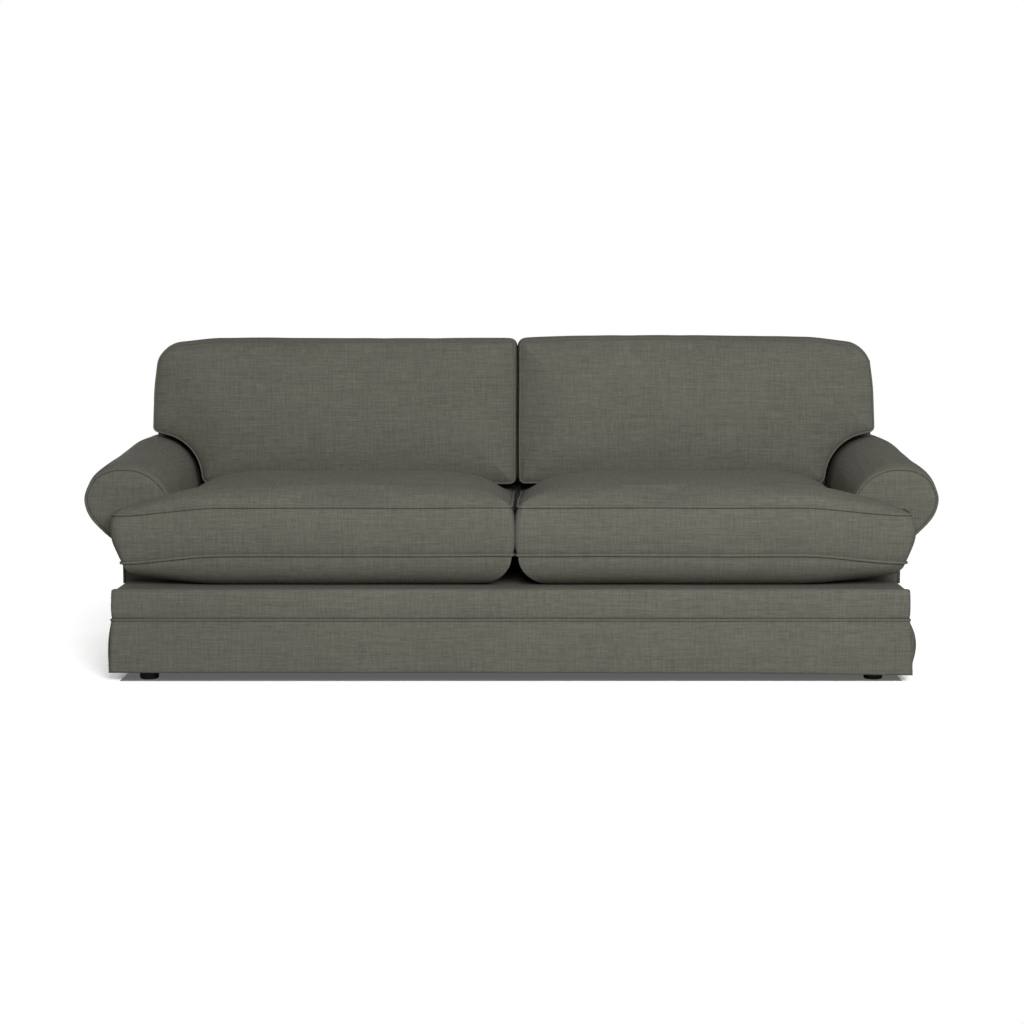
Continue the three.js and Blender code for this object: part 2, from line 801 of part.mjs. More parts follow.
function distanceToOutline(point, outline) {
  let nearest = Infinity;
  const onSide = new THREE.Vector2();
  outline.forEach((a, i) => {
    const b = outline[(i + 1) % outline.length];
    const side = new THREE.Vector2().subVectors(b, a);
    const share = THREE.MathUtils.clamp(
      onSide.subVectors(point, a).dot(side) / side.lengthSq(), 0, 1);
    nearest = Math.min(nearest, onSide.copy(a).addScaledVector(side, share).distanceTo(point));
  });
  return nearest;
}

// Quarter-ellipse rise from a seam to a share of 1 at the reach
function domeShare(distance, reach) {
  const left = 1 - Math.min(distance / reach, 1);
  return Math.sqrt(1 - left * left);
}

// Boxed cushion as rings round its outline, from the middle of its low face to the middle of
// its high face. skin moves the whole surface inwards; a plain one leaves out beads and bulge.
function boxedCushion(form, skin, plain) {
  const arcSteps = plain ? 2 : 3;
  const lowLine = roundedOutline(form.corners, form.lowInset, arcSteps);
  const highLine = roundedOutline(form.corners, 0, arcSteps);
  const within = (p, line) => Math.max(distanceToOutline(p, line) - skin, 0);
  const lowHeight = (p) => form.low(p, within(p, lowLine)) + skin;
  const highHeight = (p) => form.high(p, within(p, highLine)) - skin;
  const ringAt = (inset, height) => (
    roundedOutline(form.corners, inset + skin, arcSteps).map((p) => ({ p, w: height(p) })));
  const shrunk = (inset, share, height) => (
    roundedOutline(form.corners, inset + skin, arcSteps).map((q) => {
      const p = form.middle.clone().lerp(q, share);
      return { p, w: height(p) };
    }));
  const insets = plain ? plainInsetShares : fineInsetShares;
  const lowInsets = insets.map((s) => form.lowInset + s * (form.ringReach - form.lowInset));
  const highInsets = insets.map((s) => s * form.ringReach);
  const low = lowInsets.map((inset) => ringAt(inset, lowHeight)).reverse();
  const high = highInsets.map((inset) => ringAt(inset, highHeight));
  const lowSeam = (p) => form.lowSeam + form.shift(p);
  const highSeam = (p) => form.highSeam + form.shift(p);
  const boxing = plain
    ? [ringAt(form.lowInset, lowSeam), ringAt(0, highSeam)]
    : [
      ringAt(form.lowInset, (p) => lowSeam(p) - beadRadius),
      ringAt(form.lowInset - beadRadius, lowSeam),
      ringAt(form.lowInset, (p) => lowSeam(p) + beadRadius),
      ringAt(form.lowInset / 2 - boxingBulge, (p) => (lowSeam(p) + highSeam(p)) / 2),
      ringAt(0, (p) => highSeam(p) - beadRadius),
      ringAt(-beadRadius, highSeam),
      ringAt(0, (p) => highSeam(p) + beadRadius),
    ];
  const rings = [
    ...form.lowShares.map((s) => shrunk(lowInsets[insets.length - 1], s, lowHeight)).reverse(),
    ...low,
    ...boxing,
    ...high,
    ...form.highShares.map((s) => shrunk(highInsets[insets.length - 1], s, highHeight)),
  ];
  const inSpace = ({ p, w }) => form.place(p.x, p.y, w);
  const middleOf = (height) => form.place(form.middle.x, form.middle.y, height(form.middle));
  return loft(rings.map((ring) => ring.map(inSpace)), middleOf(lowHeight), middleOf(highHeight));
}

// Seat cushion: body between the split and the arm, with an ear in front of the arm
function seatForm(sign) {
  const inner = sign * cushionSplitX + boxingBulge + touch;
  const frontEdge = front + boxingBulge + touch;
  const earBack = armFront - boxingBulge - touch;
  const rear = insideBackFoot + seatTuck;
  const bodyOuter = armInner - boxingBulge - touch;
  const earMiddle = (frontEdge + earBack) / 2;
  const earStart = 2 * bodyOuter - seatEarReach;
  const earShare = (p) => THREE.MathUtils.smoothstep(p.x, earStart, seatEarReach);
  const broadShare = (p) => {
    const across = (p.x - (inner + bodyOuter) / 2) / ((bodyOuter - inner) / 2);
    return Math.max(1 - across * across, 0);
  };
  const shift = (p) => -seatEarDroop * earShare(p);
  return {
    corners: [
      { x: inner, y: frontEdge, radius: seatInnerCornerRadius, along: 4 },
      { x: seatEarReach, y: frontEdge, radius: seatFrontCornerRadius },
      { x: seatEarReach, y: earBack, radius: seatEarBackRadius },
      { x: bodyOuter, y: earBack, radius: seatThroatRadius, along: 2 },
      { x: bodyOuter, y: rear, radius: seatEarBackRadius, along: 4 },
      { x: inner, y: rear, radius: seatInnerCornerRadius, along: 3 },
    ],
    middle: new THREE.Vector2((inner + bodyOuter) / 2, earMiddle),
    lowInset: seatLowSeamInset,
    ringReach: (earBack - frontEdge) / 2 - cushionCoverThickness,
    lowShares: [towardsMiddleShares[0]],
    highShares: towardsMiddleShares,
    lowSeam: seatLowSeam,
    highSeam: seatHighSeam,
    shift,
    low: (p, distance) => {
      const depth = (seatLowSeam - deckTop - touch) * (1 - seatEarUndersideShare * earShare(p));
      return seatLowSeam + shift(p) - depth * domeShare(distance, seatUndersideReach);
    },
    high: (p, distance) => {
      const crown = seatCrown + seatBroadCrown * broadShare(p);
      return seatHighSeam + shift(p) + crown * domeShare(distance, seatCrownReach);
    },
    place: (x, y, z) => new THREE.Vector3(sign * x, y, z),
    hollow: restHollow,
    zip: [
      [sign * (inner + (bodyOuter - inner) * (1 - zipLengthShare) / 2), rear - cutOverrun],
      [sign * (bodyOuter - (bodyOuter - inner) * (1 - zipLengthShare) / 2), rear + cutOverrun],
    ],
  };
}

// What the back cushion presses out of the seat cushion's crown, or of what lies skin deeper
function restHollow(skin) {
  const floor = restHeight - touch - skin;
  const high = restHeight + seatCrown + cutOverrun;
  const wallSlope = (restEnd - restStart) / seatCrown;
  const foot = restEnd - skin;
  const outline = [
    [foot, floor],
    [back, floor],
    [back, high],
    [foot - wallSlope * (high - floor), high],
  ];
  return extrudeAcross(outline, -baseWidth, baseWidth);
}

// Back cushion: body over the seat, with an ear above the arm. Its faces lean with the back.
function backForm(sign) {
  const inner = sign * cushionSplitX + boxingBulge + touch;
  const bottom = restHeight + boxingBulge;
  const footX = armInner - backFootClearance;
  const faceY = (z) => backCushionFront + (z - restHeight) * leanSlope;
  const backCrown = backCushionDepth - backCushionBoxing - touch;
  return {
    corners: [
      { x: inner, y: bottom, radius: backInnerCornerRadius, along: 4 },
      { x: footX, y: bottom, radius: backFootCornerRadius, along: 1 },
      { x: armInner - backThroatClearance, y: backThroatZ, radius: backThroatRadius },
      { x: backEarReach + backEarSpread, y: backEarBottom, radius: backEarCornerRadius, along: 1 },
      { x: backEarReach, y: backCushionTopSeam, radius: backTopCornerRadius, along: 4 },
      { x: inner, y: backCushionTopSeam, radius: backInnerCornerRadius, along: 2 },
    ],
    middle: new THREE.Vector2((inner + footX) / 2, (backEarBottom + backCushionTopSeam) / 2),
    lowInset: 0,
    ringReach: (backCushionTopSeam - backEarBottom) / 2 - cushionCoverThickness,
    lowShares: towardsMiddleShares,
    highShares: [towardsMiddleShares[0]],
    lowSeam: 0,
    highSeam: backCushionBoxing,
    shift: () => 0,
    low: (p, distance) => -backCushionCrown * domeShare(distance, backCushionCrownReach),
    high: (p, distance) => backCushionBoxing + backCrown * domeShare(distance, backCushionCrownReach),
    place: (x, z, w) => new THREE.Vector3(sign * x, faceY(z) + w, z),
    zip: [
      [sign * (inner + (footX - inner) * (1 - zipLengthShare) / 2), bottom - cutOverrun],
      [sign * (footX - (footX - inner) * (1 - zipLengthShare) / 2), bottom + cutOverrun],
    ],
  };
}

function cushions() {
  for (const { word, sign } of sides) {
    const seat = seatForm(sign);
    const seatZipZ = (seatLowSeam + seatHighSeam) / 2;
    const seatZip = boxBetween(
      [...seat.zip[0], seatZipZ - zipHalfHeight], [...seat.zip[1], seatZipZ + zipHalfHeight]);
    place(`seat_cushion_cover_${word}`, cushionCover(seat, seatZip), cloth);
    place(`seat_cushion_core_${word}`, cushionCore(seat), filling);

    const rest = backForm(sign);
    const zipY = rest.place(0, restHeight, backCushionBoxing / 2).y;
    const backZip = boxBetween(
      [rest.zip[0][0], zipY - zipHalfHeight, rest.zip[0][1]],
      [rest.zip[1][0], zipY + zipHalfHeight, rest.zip[1][1]]);
    place(`back_cushion_cover_${word}`, cushionCover(rest, backZip), cloth);
    place(`back_cushion_core_${word}`, cushionCore(rest), filling);
  }
}

// Cover round its hollow, open at the zip
function cushionCover(form, zip) {
  return cut(pressed(form, 0, false), pressed(form, cushionCoverThickness, true), zip);
}

// Filling: the cover's hollow, drawn in evenly towards a point that all of its wall faces
function cushionCore(form) {
  const heart = form.place(form.middle.x, form.middle.y, (form.lowSeam + form.highSeam) / 2);
  return pressed(form, cushionCoverThickness, true)
    .translate(-heart.x, -heart.y, -heart.z)
    .scale(coreShare, coreShare, coreShare)
    .translate(heart.x, heart.y, heart.z);
}

function pressed(form, skin, plain) {
  const whole = boxedCushion(form, skin, plain);
  return form.hollow ? cut(whole, form.hollow(skin)) : whole;
}

baseRails();
cornerBlocksAndFeet();
springs();
seatDeck();
dustCover();
baseBands();
baseWelts();
skirts();
arms();
backFrame();
backUpholstery();
cushions();

export default sofa;
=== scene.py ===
from contextlib import contextmanager
import json
import math

import bmesh
import bpy
import numpy as np
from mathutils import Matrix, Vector, noise


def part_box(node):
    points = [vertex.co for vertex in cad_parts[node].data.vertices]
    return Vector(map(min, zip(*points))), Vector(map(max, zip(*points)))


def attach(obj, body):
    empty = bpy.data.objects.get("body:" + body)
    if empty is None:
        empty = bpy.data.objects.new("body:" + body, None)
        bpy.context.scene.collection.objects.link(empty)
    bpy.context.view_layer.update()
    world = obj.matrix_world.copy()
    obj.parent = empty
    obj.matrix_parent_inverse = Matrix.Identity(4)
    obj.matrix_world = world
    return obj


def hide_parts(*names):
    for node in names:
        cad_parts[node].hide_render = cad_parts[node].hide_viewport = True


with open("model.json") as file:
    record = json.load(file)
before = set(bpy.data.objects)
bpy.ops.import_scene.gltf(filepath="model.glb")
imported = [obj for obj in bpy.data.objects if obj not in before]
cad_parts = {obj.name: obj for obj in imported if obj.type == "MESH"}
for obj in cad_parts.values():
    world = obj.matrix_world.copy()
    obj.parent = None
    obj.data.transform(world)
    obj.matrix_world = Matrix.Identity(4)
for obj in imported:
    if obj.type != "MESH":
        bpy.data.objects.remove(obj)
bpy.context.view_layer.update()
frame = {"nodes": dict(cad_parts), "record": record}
NOISE_SEED = 11
noise.seed_set(NOISE_SEED)

SIDES = (("left", -1), ("right", 1))

# Places of the frame, in metres, as the part's source gives them
FRONT, BACK = -0.480, 0.480
HALF_BASE = 1.100
TOUCH = 0.0003
DECK_TOP, DECK_THICKNESS = 0.260, 0.018
BAND_THICKNESS, BAND_EDGE, BAND_TOP = 0.014, 0.009, 0.252
RAIL_BOTTOM = 0.1117
WELT = 0.0035
SKIRT_TOP, SKIRT_BOTTOM, SKIRT_THICKNESS = 0.171, 0.028, 0.004
BAND_STEP = SKIRT_TOP + 2 * WELT
ARM_FRONT = FRONT + 0.187
ARM_INNER = 0.957
ROLL_X, ROLL_Z, ROLL_RADIUS = 1.090, 0.463, 0.118
ARM_CLIMB, ARM_CLIMB_END = 0.057, BACK - 0.340
ROLL_TAPER, ROLL_SAG, UNDER_ROLL_SHARE = 0.2, 0.35, 0.2
ARM_BOTTOM = BAND_TOP + TOUCH
ARM_BEAD, BASE_BEAD = 0.0039, 0.0038
CORNER_GAP, WELT_END_GAP = SKIRT_THICKNESS + TOUCH, 0.0045
PANEL_THICKNESS = 0.014
LEAN = math.tan(math.radians(8))
INSIDE_BACK = FRONT + 0.745
PAD_TOP, PAD_THICKNESS = 0.850, 0.030
CAP_THICKNESS = 0.014

# Seat cushions: seams, crowns, the crest of the high face, and the ears in front of the arms
SPLIT = 0.011
BULGE = 0.008
SEAT_LOW, SEAT_HIGH, SEAT_LOW_INSET = 0.352, 0.487, 0.011
SEAT_CROWN, SEAT_BROAD, SEAT_REACH, SEAT_UNDER_REACH = 0.050, 0.010, 0.210, 0.097
SEAT_CREST, SEAT_CREST_START, SEAT_CREST_AT = 0.016, FRONT + 0.06, FRONT + 0.30
SEAT_EAR, SEAT_DROOP, SEAT_EAR_UNDER, EAR_FLATTER = 1.098, 0.022, 0.5, 0.008
SEAT_REAR = FRONT + 0.750
EAR_FULLNESS = {1: (-0.003, 0.018, 0.008), -1: (-0.003, 0.006, -0.009)}

# Hollow that a back cushion presses into the seat, and the back cushions
REST_HEIGHT, REST_START, REST_END = 0.492, FRONT + 0.515, FRONT + 0.585
BACK_FRONT, BACK_BOXING, BACK_CROWN, BACK_REACH = FRONT + 0.612, 0.130, 0.050, 0.230
BACK_TOP, BACK_EAR, BACK_EAR_BOTTOM, BACK_EAR_SPREAD = 0.924, 1.078, 0.657, 0.006

# Cloth simulation of the covers: it starts from a lower crown, and its moves are capped
SIMULATED_FRAMES = 14
START_CROWN = 0.88
MOST_SWELL, MOST_SINK, MOST_SIDE_MOVE, MOST_BOXING_MOVE = 0.014, 0.003, 0.006, 0.0015


def inside_back(z):
    return INSIDE_BACK + (z - DECK_TOP) * LEAN


# Shader graphs

def grey(value):
    return value, value, value, 1.0


class Graph:
    """Adds nodes to the tree of a material or a world, and links them."""

    def __init__(self, name, blocks=bpy.data.materials):
        self.block = blocks.new(name)
        self.block.use_nodes = True
        self.tree = self.block.node_tree

    @property
    def shader(self):
        return self.tree.nodes["Principled BSDF"]

    def add(self, kind, inputs=None, **settings):
        node = self.tree.nodes.new(kind)
        for key, value in settings.items():
            setattr(node, key, value)
        for key, value in (inputs or {}).items():
            self.put(node.inputs[key], value)
        return node

    def put(self, socket, value):
        if isinstance(value, bpy.types.NodeSocket):
            self.tree.links.new(value, socket)
        else:
            socket.default_value = value

    def math(self, operation, a, b=0.0, c=0.0):
        return self.add("ShaderNodeMath", {0: a, 1: b, 2: c}, operation=operation).outputs[0]

    def scaled(self, a, factor, offset=0.0):
        return self.math("MULTIPLY_ADD", a, factor, offset)

    def weighted(self, values, shares, total=0.0):
        for value, share in zip(values, shares):
            total = self.math("MULTIPLY_ADD", value, share, total)
        return total

    def choose(self, condition, no, yes):
        return self.math("MULTIPLY_ADD", condition, self.math("SUBTRACT", yes, no), no)

    def vector(self, x, y, z=0.0):
        return self.add("ShaderNodeCombineXYZ", {0: x, 1: y, 2: z}).outputs[0]

    def split(self, vector):
        return self.add("ShaderNodeSeparateXYZ", {0: vector}).outputs

    def place(self):
        return self.add("ShaderNodeTexCoord").outputs["Object"]

    def noise(self, vector, scale, detail=2.0, roughness=0.5, dimensions="3D"):
        inputs = {"Vector": vector, "Scale": scale, "Detail": detail, "Roughness": roughness}
        return self.add("ShaderNodeTexNoise", inputs, noise_dimensions=dimensions).outputs["Fac"]

    def streaks(self, places, scales, detail, roughness=0.5, offsets=(0.0, 0.0, 0.0)):
        """Noise with its own scale along each coordinate, which draws it out into fibres."""
        spot = self.vector(*(self.scaled(*part) for part in zip(places, scales, offsets)))
        return self.noise(spot, 1.0, detail, roughness, f"{len(places)}D")

    def ramp(self, value, stops):
        node = self.add("ShaderNodeValToRGB", {"Fac": value})
        elements = node.color_ramp.elements
        while len(elements) < len(stops):
            elements.new(0.5)
        for element, (position, colour) in zip(elements, stops):
            element.position = position
            element.color = (*colour, 1.0)
        return node.outputs["Color"]

    def panel_coordinates(self, along_roll=False):
        """Two coordinates in metres that lie in the cloth's plane, by the way that it faces, and the place."""
        where = self.add("ShaderNodeTexCoord").outputs
        x, y, z = self.split(where["Object"])
        nx, ny, nz = (self.math("ABSOLUTE", n) for n in self.split(where["Normal"]))
        upright = self.choose(self.math("GREATER_THAN", nx, ny), x, y)
        upwards = self.math("GREATER_THAN", nz, self.math("MAXIMUM", nx, ny))
        u, v = (y, x) if along_roll else (x, y)
        return self.choose(upwards, upright, u), self.choose(upwards, z, v), where["Object"]

    def surface(self, colour, roughness, height=None, strength=0.0, distance=0.0):
        """Feeds the shader, with the height as a bump, and gives the material."""
        self.put(self.shader.inputs["Base Color"], colour)
        self.put(self.shader.inputs["Roughness"], roughness)
        if height is not None:
            bump = self.add("ShaderNodeBump", {"Height": height, "Strength": strength, "Distance": distance})
            self.put(self.shader.inputs["Normal"], bump.outputs[0])
        return self.block

    def camera_and_light(self, output, shown, lit):
        """The camera sees one shader, and all other rays meet the other."""
        ray = self.add("ShaderNodeLightPath").outputs["Is Camera Ray"]
        mix = self.add("ShaderNodeMixShader", {0: ray, 1: lit.outputs[0], 2: shown.outputs[0]})
        self.add(output, {0: mix.outputs[0]})
        return self.block


# The cloth's yarns as noise scales per metre, along and across each, and their shares in the colour
SLUBS, LONG_SLUBS, BARS, THREADS = (26.0, 330.0), (7.0, 180.0), (2.2, 70.0), (120.0, 1000.0)
YARN_SHARES = (0.25, 0.22, 0.14, 0.11, 0.05, 0.31, 0.08)
YARN_COLOURS = ((0.25, (0.070, 0.068, 0.056)), (0.5, (0.131, 0.1275, 0.105)), (0.75, (0.198, 0.1935, 0.162)))


def cloth_material(name, along_roll=False, lightness=1.0):
    """Grey-olive linen look: melange yarns with thin slubs both ways, and a fine thread bump."""
    g = Graph(name)
    u, v, spot = g.panel_coordinates(along_roll)
    melange = g.noise(g.vector(u, v), 420.0, 2.5, 0.6, "2D")
    yarns = g.weighted([
        g.streaks((u, v), SLUBS, 2.0, 0.55),
        g.streaks((u, v), SLUBS[::-1], 2.0, 0.55, (7.3, 3.1)),
        g.streaks((u, v), LONG_SLUBS, 1.0, 0.5, (0.0, 1.7)),
        g.streaks((u, v), LONG_SLUBS[::-1], 1.0, 0.5, (5.9, 0.0)),
        g.streaks((u, v), BARS, 1.0, 0.5, (0.0, 4.3)),
        melange,
        g.noise(spot, 3.2)], YARN_SHARES, 0.5 * (1 - sum(YARN_SHARES)))
    threads = g.math("MAXIMUM", g.streaks((u, v), THREADS, 1.0), g.streaks((u, v), THREADS[::-1], 1.0))
    g.shader.inputs["Specular IOR Level"].default_value = 0.15
    g.shader.inputs["Sheen Weight"].default_value = 0.03
    g.shader.inputs["Sheen Roughness"].default_value = 0.45
    colour = g.ramp(yarns, [(stop, tuple(c * lightness for c in colour)) for stop, colour in YARN_COLOURS])
    relief = g.math("MULTIPLY_ADD", yarns, 0.8, threads)
    return g.surface(colour, g.scaled(melange, 0.15, 0.82), relief, 0.45, 0.0011)


def timber_material():
    """Planed hardwood: long fibres with darker pores and slow rings."""
    g = Graph("timber_grain")
    spot = g.split(g.place())
    fibres = g.streaks(spot, (6.0, 6.0, 160.0), 4.0, 0.6)
    rings = g.streaks(spot, (2.0, 2.0, 22.0), 2.0)
    colour = g.ramp(g.weighted((fibres, rings), (0.6, 0.4)),
                    [(0.3, (0.26, 0.125, 0.05)), (0.5, (0.43, 0.235, 0.105)), (0.7, (0.56, 0.33, 0.16))])
    return g.surface(colour, g.scaled(fibres, 0.25, 0.5), fibres, 0.3, 0.0008)


def lacquer_material():
    """Satin black lacquer on turned wood, with a faint grain and rubbed spots."""
    g = Graph("black_lacquer")
    where = g.place()
    grain = g.streaks(g.split(where), (260.0, 260.0, 30.0), 3.0, 0.6)
    rubbed = g.noise(where, 45.0, 3.0, 0.6)
    colour = g.ramp(g.weighted((grain, rubbed), (0.5, 0.5)),
                    [(0.35, (0.0045, 0.004, 0.004)), (0.65, (0.011, 0.010, 0.009))])
    return g.surface(colour, g.scaled(rubbed, 0.3, 0.28), grain, 0.12, 0.0004)


def steel_material():
    """Bare spring wire with drawing marks and a little oxide."""
    g = Graph("spring_wire")
    where = g.place()
    marks = g.noise(where, 300.0, 3.0, 0.6)
    oxide = g.noise(where, 25.0)
    g.shader.inputs["Metallic"].default_value = 1.0
    return g.surface(g.ramp(oxide, [(0.35, (0.19, 0.18, 0.17)), (0.65, (0.36, 0.37, 0.38))]),
                     g.scaled(marks, 0.3, 0.25))


def lining_material():
    """Black non-woven bottom cloth with matted fibres."""
    g = Graph("bottom_cloth")
    where = g.place()
    fibres = g.noise(where, 500.0, 4.0, 0.7)
    clouds = g.noise(where, 18.0)
    colour = g.ramp(g.weighted((fibres, clouds), (0.6, 0.4)),
                    [(0.3, (0.006, 0.006, 0.006)), (0.7, (0.022, 0.022, 0.021))])
    return g.surface(colour, g.scaled(fibres, 0.15, 0.8), fibres, 0.4, 0.0006)


def foam_material():
    """Off-white foam with open cells."""
    g = Graph("foam_cells")
    cells = g.noise(g.place(), 380.0, 3.0, 0.65)
    colour = g.ramp(cells, [(0.3, (0.66, 0.60, 0.46)), (0.7, (0.84, 0.80, 0.69))])
    return g.surface(colour, g.scaled(cells, 0.1, 0.85), cells, 0.5, 0.001)


CLOTH = cloth_material("linen_weave")
ROLL_CLOTH = cloth_material("linen_weave_roll", along_roll=True)
PIPING_CLOTH = cloth_material("linen_weave_piping", lightness=0.97)
LACQUER = lacquer_material()
LINING = lining_material()

slot_of = {part["node"]: part["material_slot"] for part in frame["record"]["subparts"]}
finish_of = {"cloth": CLOTH, "lining": LINING, "filling": foam_material(), "timber": timber_material(),
             "black_wood": LACQUER, "spring_steel": steel_material()}
for node_name, node_object in frame["nodes"].items():
    for material_slot in node_object.material_slots:
        material_slot.material = finish_of[slot_of[node_name]]


# Meshes

def columns(*parts):
    """Points from their coordinates, of which some may be one number for all."""
    return np.stack(np.broadcast_arrays(*parts), axis=1)


@contextmanager
def edited(source, target=None):
    work = bmesh.new()
    work.from_mesh(source)
    yield work
    work.to_mesh(target or source)
    work.free()


def mesh_piece(name, points, faces, material, closed=True):
    mesh = bpy.data.meshes.new(name)
    mesh.from_pydata([tuple(float(c) for c in p) for p in points], [], [tuple(f) for f in faces])
    if closed:
        with edited(mesh) as work:
            bmesh.ops.recalc_face_normals(work, faces=work.faces)
    mesh.shade_smooth()
    mesh.materials.append(material)
    piece = bpy.data.objects.new(name, mesh)
    bpy.context.scene.collection.objects.link(piece)
    return piece


def settle(piece, body, slot, *nodes):
    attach(piece, body)
    if nodes:
        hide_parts(*nodes)
    return piece


def upholstery(piece, fill, *nodes):
    settle(piece, "frame", "cloth", *nodes)


def ring_faces(ring_count, point_count, wrap=True):
    faces = []
    for r in range(ring_count - 1):
        for i in range(point_count if wrap else point_count - 1):
            j = (i + 1) % point_count
            a, b = r * point_count + i, r * point_count + j
            faces.append((a, b, b + point_count, a + point_count))
    return faces


def lofted(name, rings, material, ends="flat"):
    """Closed piece through rings of points with the same count."""
    count = len(rings[0])
    points = np.concatenate([np.asarray(ring, float) for ring in rings])
    faces = ring_faces(len(rings), count)
    if ends == "flat":
        faces.append(tuple(range(count))[::-1])
        faces.append(tuple(range(len(points) - count, len(points))))
    elif ends == "point":
        middles = np.array([np.mean(rings[0], axis=0), np.mean(rings[-1], axis=0)])
        first, last = len(points), len(points) + 1
        start = len(points) - count
        points = np.concatenate([points, middles])
        for i in range(count):
            j = (i + 1) % count
            faces.append((first, j, i))
            faces.append((last, start + i, start + j))
    return mesh_piece(name, points, faces, material)


def tube(name, path, radius, material, closed=False, around=10):
    """Cord of round section along a path of points."""
    path = np.asarray(path, float)
    if closed:
        ahead, behind = np.roll(path, -1, axis=0), np.roll(path, 1, axis=0)
    else:
        ahead = np.concatenate([path[1:], path[-1:]])
        behind = np.concatenate([path[:1], path[:-1]])
    tangents = ahead - behind
    tangents /= np.linalg.norm(tangents, axis=1)[:, None]
    guide = np.array([0.0, 0.0, 1.0])
    if abs(tangents @ guide).max() > 0.9:
        guide = np.array([0.0, 1.0, 0.0])
    side = np.cross(tangents, guide)
    side /= np.linalg.norm(side, axis=1)[:, None]
    up = np.cross(side, tangents)
    angles = 2 * math.pi * np.arange(around) / around
    rings = [path[i] + radius * (np.cos(angles)[:, None] * side[i] + np.sin(angles)[:, None] * up[i])
             for i in range(len(path))]
    if not closed:
        return lofted(name, rings, material, "point")
    points = np.concatenate(rings)
    faces = ring_faces(len(rings), around)
    start = (len(rings) - 1) * around
    faces += [(start + i, start + (i + 1) % around, (i + 1) % around, i) for i in range(around)]
    return mesh_piece(name, points, faces, material)


def along_line(a, b, step):
    a, b = np.asarray(a, float), np.asarray(b, float)
    count = max(2, int(np.linalg.norm(b - a) / step) + 1)
    return a + (b - a) * np.linspace(0, 1, count)[:, None]


def softened(points, size, amount, seed=0.0):
    """Small smooth unevenness, the same at the same place, so that piping and cloth keep together."""
    moved = np.array(points, float)
    for p in moved:
        p += amount * np.array(noise.noise_vector(Vector((p[0] / size + seed, p[1] / size, p[2] / size))))
    return moved


def read_points(mesh):
    co = np.empty(len(mesh.vertices) * 3)
    mesh.vertices.foreach_get("co", co)
    return co.reshape(-1, 3)


def write_points(mesh, co):
    mesh.vertices.foreach_set("co", co.ravel())
    mesh.update()


def soften_mesh(piece, size, amount, seed):
    write_points(piece.data, softened(read_points(piece.data), size, amount, seed))


class Outline:
    """Closed outline with rounded corners (x, y, radius), run anticlockwise. points(inset) keeps their count."""

    def __init__(self, corners, arc_step=0.008, side_step=0.018):
        self.spots = np.array([(x, y) for x, y, _ in corners])
        self.radii = [r for _, _, r in corners]
        run = np.roll(self.spots, -1, axis=0) - self.spots
        self.lengths = np.linalg.norm(run, axis=1)
        self.ahead = run / self.lengths[:, None]
        self.inwards = columns(-self.ahead[:, 1], self.ahead[:, 0])
        self.turns = []
        for i in range(len(corners)):
            into, out = self.ahead[i - 1], self.ahead[i]
            self.turns.append(math.atan2(into[0] * out[1] - into[1] * out[0], into @ out))
        self.arc_counts = [max(3, math.ceil(abs(t) * r / arc_step)) for t, r in zip(self.turns, self.radii)]
        self.side_counts = [max(1, int(length / side_step)) for length in self.lengths]

    def points(self, inset=0.0):
        arcs = []
        for i, spot in enumerate(self.spots):
            h = i - 1
            reach = inset / (1 + self.inwards[h] @ self.inwards[i])
            tip = spot + reach * (self.inwards[h] + self.inwards[i])
            turn = self.turns[i]
            radius = self.radii[i] if turn < 0 else max(self.radii[i] - inset, 0.002)
            start = tip - self.ahead[h] * radius * math.tan(abs(turn) / 2)
            centre = start + self.inwards[h] * math.copysign(radius, turn)
            angles = turn * np.linspace(0, 1, self.arc_counts[i] + 1)
            c, s = np.cos(angles), np.sin(angles)
            dx, dy = start - centre
            arcs.append(columns(centre[0] + c * dx - s * dy, centre[1] + s * dx + c * dy))
        outline = []
        for i, arc in enumerate(arcs):
            following = arcs[(i + 1) % len(arcs)][0]
            shares = np.arange(1, self.side_counts[i]) / self.side_counts[i]
            outline += [arc, arc[-1] + (following - arc[-1]) * shares[:, None]]
        return np.concatenate(outline)

    def distance(self, points, inset=0.0):
        line = self.points(inset)
        side = np.roll(line, -1, axis=0) - line
        keep = (side ** 2).sum(1) > 1e-16
        line, side = line[keep], side[keep]
        nearest = np.full(len(points), np.inf)
        for a, s in zip(line, side):
            share = np.clip(((points - a) @ s) / (s @ s), 0, 1)
            nearest = np.minimum(nearest, ((points - a - share[:, None] * s) ** 2).sum(1))
        return np.sqrt(nearest)


def dome(distance, reach):
    left = 1 - np.minimum(distance / reach, 1)
    return np.sqrt(1 - left * left)


def smooth_share(x, low, high):
    t = np.clip((x - low) / (high - low), 0, 1)
    return t * t * (3 - 2 * t)


# Cushions

RING_MARGIN = 0.006


